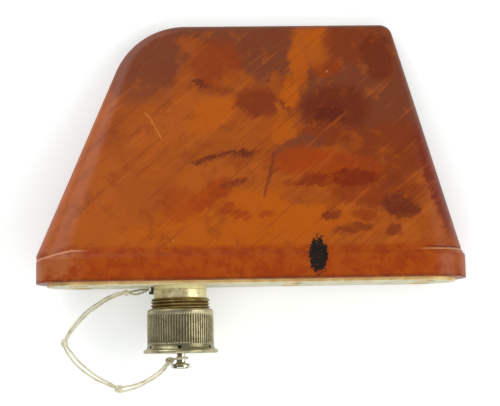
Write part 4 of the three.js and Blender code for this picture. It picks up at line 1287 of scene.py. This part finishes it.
def screw_recipe(material):
    """A slotted countersunk screw on every point, each stopped at its own angle."""
    recipe = Recipe("countersunk_screws", {
        "Head radius": 2.8, "Shank radius": 1.5, "Head height": 1.4, "Length": 11.0, "Slot width": 0.7,
        "Slot depth": 0.6, "Seed": 4,
    })
    graph = recipe.graph
    size = {label: recipe.input(label) * MM for label in
            ("Head radius", "Shank radius", "Head height", "Length", "Slot width", "Slot depth")}
    head = graph.add("GeometryNodeMeshCone", None, {
        "Vertices": 40, "Radius Top": size["Shank radius"], "Radius Bottom": size["Head radius"],
        "Depth": size["Head height"],
    })
    shank = graph.add("GeometryNodeMeshCylinder", None, {
        "Vertices": 40, "Radius": size["Shank radius"] * 0.98,
        "Depth": size["Length"] - size["Head height"] * 0.5,
    })
    lift = graph.vector(0, 0, (size["Length"] + size["Head height"] * 0.5) / 2)
    shank = graph.add("GeometryNodeTransform", None, {"Geometry": shank, "Translation": lift})
    slot = graph.add("GeometryNodeMeshCube", None, {
        "Size": graph.vector(size["Head radius"] * 3, size["Slot width"], size["Slot depth"] * 2),
    })
    union = graph.tree.nodes.new("GeometryNodeMeshBoolean")
    union.operation = "UNION"
    for piece in (head, shank):
        graph.tree.links.new(piece.socket, union.inputs["Mesh 2"])
    cut = graph.tree.nodes.new("GeometryNodeMeshBoolean")
    cut.operation = "DIFFERENCE"
    graph.tree.links.new(union.outputs["Mesh"], cut.inputs["Mesh 1"])
    graph.tree.links.new(slot.socket, cut.inputs["Mesh 2"])
    turn = graph.add("FunctionNodeRandomValue", {"data_type": "FLOAT"},
                     {2: 0.0, 3: math.pi, "Seed": recipe.input("Seed")}, 1)
    points = graph.add("GeometryNodeMeshToPoints", inputs={"Mesh": recipe.given()})
    placed = graph.add("GeometryNodeInstanceOnPoints", None, {
        "Points": points, "Instance": Field(graph, cut.outputs["Mesh"]), "Rotation": graph.vector(0, 0, turn),
    })
    recipe.finish(placed, material)
    return recipe


def make_screws():
    low = SCREW_LOW.z + SCREW_HEAD_HEIGHT / 2
    screws = mesh_object("plate_screws", [(place.x, place.y, low) for place in SCREW_PLACES])
    screw_recipe(SCREW_STEEL).use(screws, Length=SCREW_HIGH.z - SCREW_LOW.z)
    tidy(screws, 25)
    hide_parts(*[f"plate_screw_{i + 1}" for i in range(6)])
    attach(screws, "antenna")


make_plate()
make_screws()


# ---------------------------------------------------------------- connector

THREAD_ORIGIN = NECK_LOW.z - 2 * THREAD_PITCH
THREAD_STEP = THREAD_PITCH / 14


def levels(start, end, step):
    """Heights from start to end, both left out, about a step apart."""
    count = max(1, round(abs(end - start) / step))
    return [start + (end - start) * i / count for i in range(1, count)]


def make_connector():
    mouth, top = NECK_LOW.z, NECK_HIGH.z
    thread_top, thread_end = -NECK_BARE, mouth + NOSE
    outline = [
        (SPIGOT_BORE, top, 0.2), (SPIGOT_BORE, SOCKET_TOP, 0), (SOCKET_RADIUS, SOCKET_TOP, 0.2),
        (SOCKET_RADIUS, mouth, 0.25), (NECK_RADIUS, mouth, 0.35), (NECK_RADIUS, thread_end - 0.35, 0),
        (THREAD_RADIUS, thread_end + 0.4, 0.05),
        *[(THREAD_RADIUS, z, 0) for z in levels(thread_end + 0.4, thread_top - 0.3, THREAD_STEP)],
        (THREAD_RADIUS, thread_top - 0.3, 0.05), (THREAD_RADIUS - 0.55, thread_top, 0.1),
        (NECK_RADIUS, thread_top + 0.1, 0.12), (NECK_RADIUS, NECK_TOP, 0.15), (SPIGOT_RADIUS, NECK_TOP, 0),
        (SPIGOT_RADIUS, top, 0.3),
    ]
    neck = turned("connector_neck", outline, NECK_METAL, 128, sharp=40)
    thread_recipe(NECK_METAL).use(
        neck, Pitch=THREAD_PITCH, Depth=THREAD_DEPTH, Start=THREAD_ORIGIN, Top=thread_top - 0.15,
        Bottom=thread_end + 0.1, Inner_radius=THREAD_RADIUS - 0.15, Outer_radius=THREAD_RADIUS + 0.1,
    )
    dimple = rod("dimple", 0.35, -1, 1, NECK_METAL, 16, 0, 0)
    dimple.data.transform(Matrix.Translation(Vector((AXIS_X, -NECK_RADIUS - 0.75, -1.6)) * MM)
                          @ Matrix.Rotation(math.pi / 2, 4, "X"))
    drilled(neck, [dimple])
    neck.data.set_sharp_from_angle(angle=math.radians(38))
    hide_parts("connector_body")
    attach(neck, "antenna")
    seal = turned("neck_gasket", [
        (SPIGOT_RADIUS + 0.2, NECK_TOP + 0.02, 0), (NECK_RADIUS - 0.05, NECK_TOP + 0.02, 0.2),
        (NECK_RADIUS - 0.05, POCKET_DEPTH - 0.02, 0.2), (SPIGOT_RADIUS + 0.2, POCKET_DEPTH - 0.02, 0),
    ], FIBRE, 96)
    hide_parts("neck_seal")
    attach(seal, "antenna")


def make_socket():
    """What shows in the connector's mouth once the cap is off."""
    low, high = box("connector_insulator")
    step = SOCKET_TOP - 0.3
    insulator = turned("contact_insulator", [
        (1.65, low.z, 0.1), (SOCKET_RADIUS - 0.2, low.z, 0.25), (SOCKET_RADIUS - 0.2, step, 0.1),
        (SPIGOT_BORE - 0.25, step, 0.1), (SPIGOT_BORE - 0.25, high.z, 0.1), (1.65, high.z, 0.1),
    ], WHITE_PLASTIC, 64)
    low, high = box("centre_contact")
    contact = turned("contact_pin", [
        (0, low.z, 0), (0.9, low.z, 0.7), (1.5, low.z + 1.1, 0.3), (1.5, high.z, 0.1), (0, high.z, 0),
    ], BRASS, 48)
    low, high = box("socket_seal")
    seal = turned("mouth_seal", [
        (4.7, low.z, 0.25), (SOCKET_RADIUS - 0.2, low.z, 0.25), (SOCKET_RADIUS - 0.2, high.z, 0.25),
        (4.7, high.z, 0.25),
    ], RUBBER, 64)
    for piece, node, name in ((insulator, "connector_insulator", "insulator"),
                              (contact, "centre_contact", "brass"), (seal, "socket_seal", "rubber")):
        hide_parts(node)
        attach(piece, "antenna")


make_connector()
make_socket()


# ---------------------------------------------------------------- dust cap

def make_cap():
    top, bottom = CAP_HIGH.z, CAP_LOW.z
    relief = THREAD_RADIUS + THREAD_PLAY
    flutes_top, flutes_end = top - 1.45, CAP_BODY_END + 0.2
    round_rim = (CAP_FLARE_END - bottom) / 2
    neck_rim = CAP_RIM_RADIUS - round_rim
    rim, flare = [], []
    for i in range(9):
        angle = (i / 8 - 0.5) * math.pi
        rim.append((neck_rim + round_rim * math.cos(angle), bottom + round_rim * (1 + math.sin(angle)), 0))
    for sin, cos in quarter(8)[:-1]:
        radius = neck_rim - (neck_rim - CAP_BODY_RADIUS) * cos
        flare.insert(0, (radius, CAP_BODY_END - (CAP_BODY_END - CAP_FLARE_END) * sin, 0))
    outline = [
        (POST_RADIUS + 0.2, bottom, 0.15), *rim, *flare,
        (CAP_BODY_RADIUS, flutes_end, 0),
        *[(CAP_BODY_RADIUS, z, 0) for z in levels(flutes_end, flutes_top, 0.25)],
        (CAP_BODY_RADIUS, flutes_top, 0), (CAP_BODY_RADIUS, top - 0.45, 0.3),
        (CAP_BODY_RADIUS - 0.5, top, 0.2), (relief + 0.1, top, 0.08), (relief, top - 0.25, 0),
        *[(relief, z, 0) for z in levels(top - 0.25, CAP_THREAD_END, THREAD_STEP)],
        (relief, CAP_THREAD_END, 0), (relief, CAP_FLOOR, 0.3), (POST_RADIUS + 0.2, CAP_FLOOR, 0.1),
    ]
    cap = turned("dust_cap", outline, NICKEL, FLUTES * 6, sharp=40)
    flute_recipe(NICKEL).use(
        cap, Count=FLUTES, Depth=FLUTE_DEPTH, Top=flutes_top + 0.1, Bottom=flutes_end - 0.1,
        Inner_radius=CAP_BODY_RADIUS - 0.12,
    )
    thread_recipe(NICKEL).use(
        cap, Pitch=THREAD_PITCH, Depth=THREAD_DEPTH, Start=THREAD_ORIGIN, Top=top - 0.1,
        Bottom=CAP_THREAD_END, Inner_radius=relief - 0.1, Outer_radius=relief + 0.05,
    )
    holes = []
    for i in range(WIRE_HOLES):
        hole = rod("wire_hole", WIRE_HOLE_RADIUS, 0, 3, NICKEL, 20, 0, 0)
        angle = (i + 0.5) / WIRE_HOLES * TURN
        height = CAP_FLARE_END + WIRE_HOLE_RADIUS + 0.12
        start = CAP_BODY_RADIUS - 0.5
        hole.data.transform(
            Matrix.Translation(Vector((AXIS_X, 0, height)) * MM) @ Matrix.Rotation(angle, 4, "Z")
            @ Matrix.Translation(Vector((start, 0, 0)) * MM) @ Matrix.Rotation(math.pi / 2, 4, "Y")
        )
        holes.append(hole)
    drilled(cap, holes)
    cap.data.set_sharp_from_angle(angle=math.radians(38))
    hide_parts("cap_shell")
    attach(cap, "cap")
    low, high = box("cap_seal")
    seal = turned("cap_sealing_ring", [
        (SOCKET_RADIUS + 0.2, low.z, 0.3), (THREAD_RADIUS - 0.1, low.z, 0.3),
        (THREAD_RADIUS - 0.1, high.z, 0.3), (SOCKET_RADIUS + 0.2, high.z, 0.3),
    ], RUBBER, 64)
    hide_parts("cap_seal")
    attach(seal, "cap")


def make_post():
    bottom, top = POST_LOW.z, POST_HIGH.z
    under_head = CAP_LOW.z - 3
    rivet_seat = CAP_FLOOR + 0.12
    post = turned("headed_post", [
        (0, bottom, 0), (POST_HEAD_RADIUS - 0.1, bottom + 0.1, 0.85),
        (POST_HEAD_RADIUS - 0.05, under_head - 0.1, 0.7),
        (POST_RADIUS + 0.35, under_head, 0.2), (POST_RADIUS, under_head + 0.4, 0.3),
        (POST_RADIUS, rivet_seat, 0.05), (2.4, rivet_seat, 0.15), (2.3, top, 0.4), (0, top, 0),
    ], BRIGHT_STEEL, 64, steps=8, sharp=50)
    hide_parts("cap_post")
    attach(post, "cap_post")


def make_anchor():
    low, high = box("tether_anchor")
    place = middle("tether_anchor")
    radius = (high.x - low.x) / 2
    anchor = turned("cord_anchor", [
        (0, low.z, 0), (radius, low.z, 0.3), (radius, low.z + 0.9, 0.2), (0.6, low.z + 0.95, 0.1),
        (0.6, high.z, 0), (0, high.z, 0),
    ], DARK_STEEL, 40, place.x, place.y)
    slot = build("slot", [
        (place.x + x * 2, place.y + y * 0.22, low.z + z) for x in (-1, 1) for y in (-1, 1) for z in (-1, 0.35)
    ], [(0, 1, 3, 2), (4, 6, 7, 5), (0, 4, 5, 1), (2, 3, 7, 6), (0, 2, 6, 4), (1, 5, 7, 3)], DARK_STEEL)
    drilled(anchor, [slot])
    anchor.data.set_sharp_from_angle(angle=math.radians(35))
    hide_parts("tether_anchor")
    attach(anchor, "antenna")


make_cap()
make_post()
make_anchor()


# ---------------------------------------------------------------- CAD pieces that stay

INSIDE = {
    FOAM: ["foam_core_front", "foam_core_rear"],
    COPPER: ["radiator_plate"],
    BRASS: ["feed_block", "feed_rivet_1", "feed_rivet_2", "ground_strap", "ground_rivet", "connector_nut",
            *[f"plate_insert_{i + 1}" for i in range(6)]],
    SCREW_STEEL: ["ground_screw", "lock_washer"],
    RUBBER: ["base_gasket"],
}
for material, names in INSIDE.items():
    for name in names:
        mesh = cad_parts[name].data
        mesh.materials.clear()
        mesh.materials.append(material)


# ---------------------------------------------------------------- backdrop

TABLE_REACH = 190
ROOM_LIGHT = 0.28
ROOM_SEEN = 1.0
ROOM_IN_GLOSS = 0.16


def make_backdrop():
    """The pale table that the antenna's back leans on, which only the camera in front of it and gloss see."""
    foot, tip = Vector((0, FOOT_SIDE + 0.3, 2)), Vector((0, TIP_THICKNESS / 2 + 0.3, FIN_TIP - 2))
    up = (tip - foot).normalized() * TABLE_REACH
    across = Vector((TABLE_REACH, 0, 0))
    centre = foot + (tip - foot) * 0.3
    corners = [centre - across - up, centre + across - up, centre + across + up, centre - across + up]
    backdrop = mesh_object("backdrop", corners, faces=[(0, 1, 2, 3)])
    material = bpy.data.materials.new("backdrop")
    material.use_nodes = True
    graph = Graph(material.node_tree)
    place = graph.scaled(graph.add("ShaderNodeTexCoord", output="Object"), 1 / MM)
    x, _, z = graph.parts(place)
    reach = (x * x + (z - 25) * (z - 25)).math("SQRT")
    front = 1 - graph.add("ShaderNodeNewGeometry", output="Backfacing")
    seen = graph.add("ShaderNodeLightPath", output="Is Camera Ray")
    seen = seen + graph.add("ShaderNodeLightPath", output="Is Glossy Ray")
    shade = graph.add("ShaderNodeAddShader", None, [
        graph.add("ShaderNodeBsdfDiffuse", None, {"Color": (0.72, 0.73, 0.725, 1)}),
        graph.add("ShaderNodeEmission", None, {"Color": (0.41, 0.42, 0.415, 1)}),
    ])
    clear = graph.add("ShaderNodeBsdfTransparent")
    mixed = graph.add("ShaderNodeMixShader", None, [front * seen * reach.step(180, 115), clear, shade])
    output = material.node_tree.nodes["Material Output"]
    material.node_tree.links.new(mixed.socket, output.inputs["Surface"])
    backdrop.data.materials.append(material)


def make_world():
    """A pale room, white to the camera, dimmer as a light and dimmest in reflections."""
    world = bpy.data.worlds.new("studio")
    world.use_nodes = True
    graph = Graph(world.node_tree)
    background = world.node_tree.nodes["Background"]
    background.inputs["Color"].default_value = (0.93, 0.95, 0.95, 1)
    seen = graph.add("ShaderNodeLightPath", output="Is Camera Ray")
    gloss = graph.add("ShaderNodeLightPath", output="Is Glossy Ray")
    strength = ROOM_LIGHT + seen * (ROOM_SEEN - ROOM_LIGHT) - gloss * (ROOM_LIGHT - ROOM_IN_GLOSS)
    graph.feed(background.inputs["Strength"], strength)
    bpy.context.scene.world = world
    bpy.context.scene.view_settings.view_transform = "Standard"


make_backdrop()
make_world()
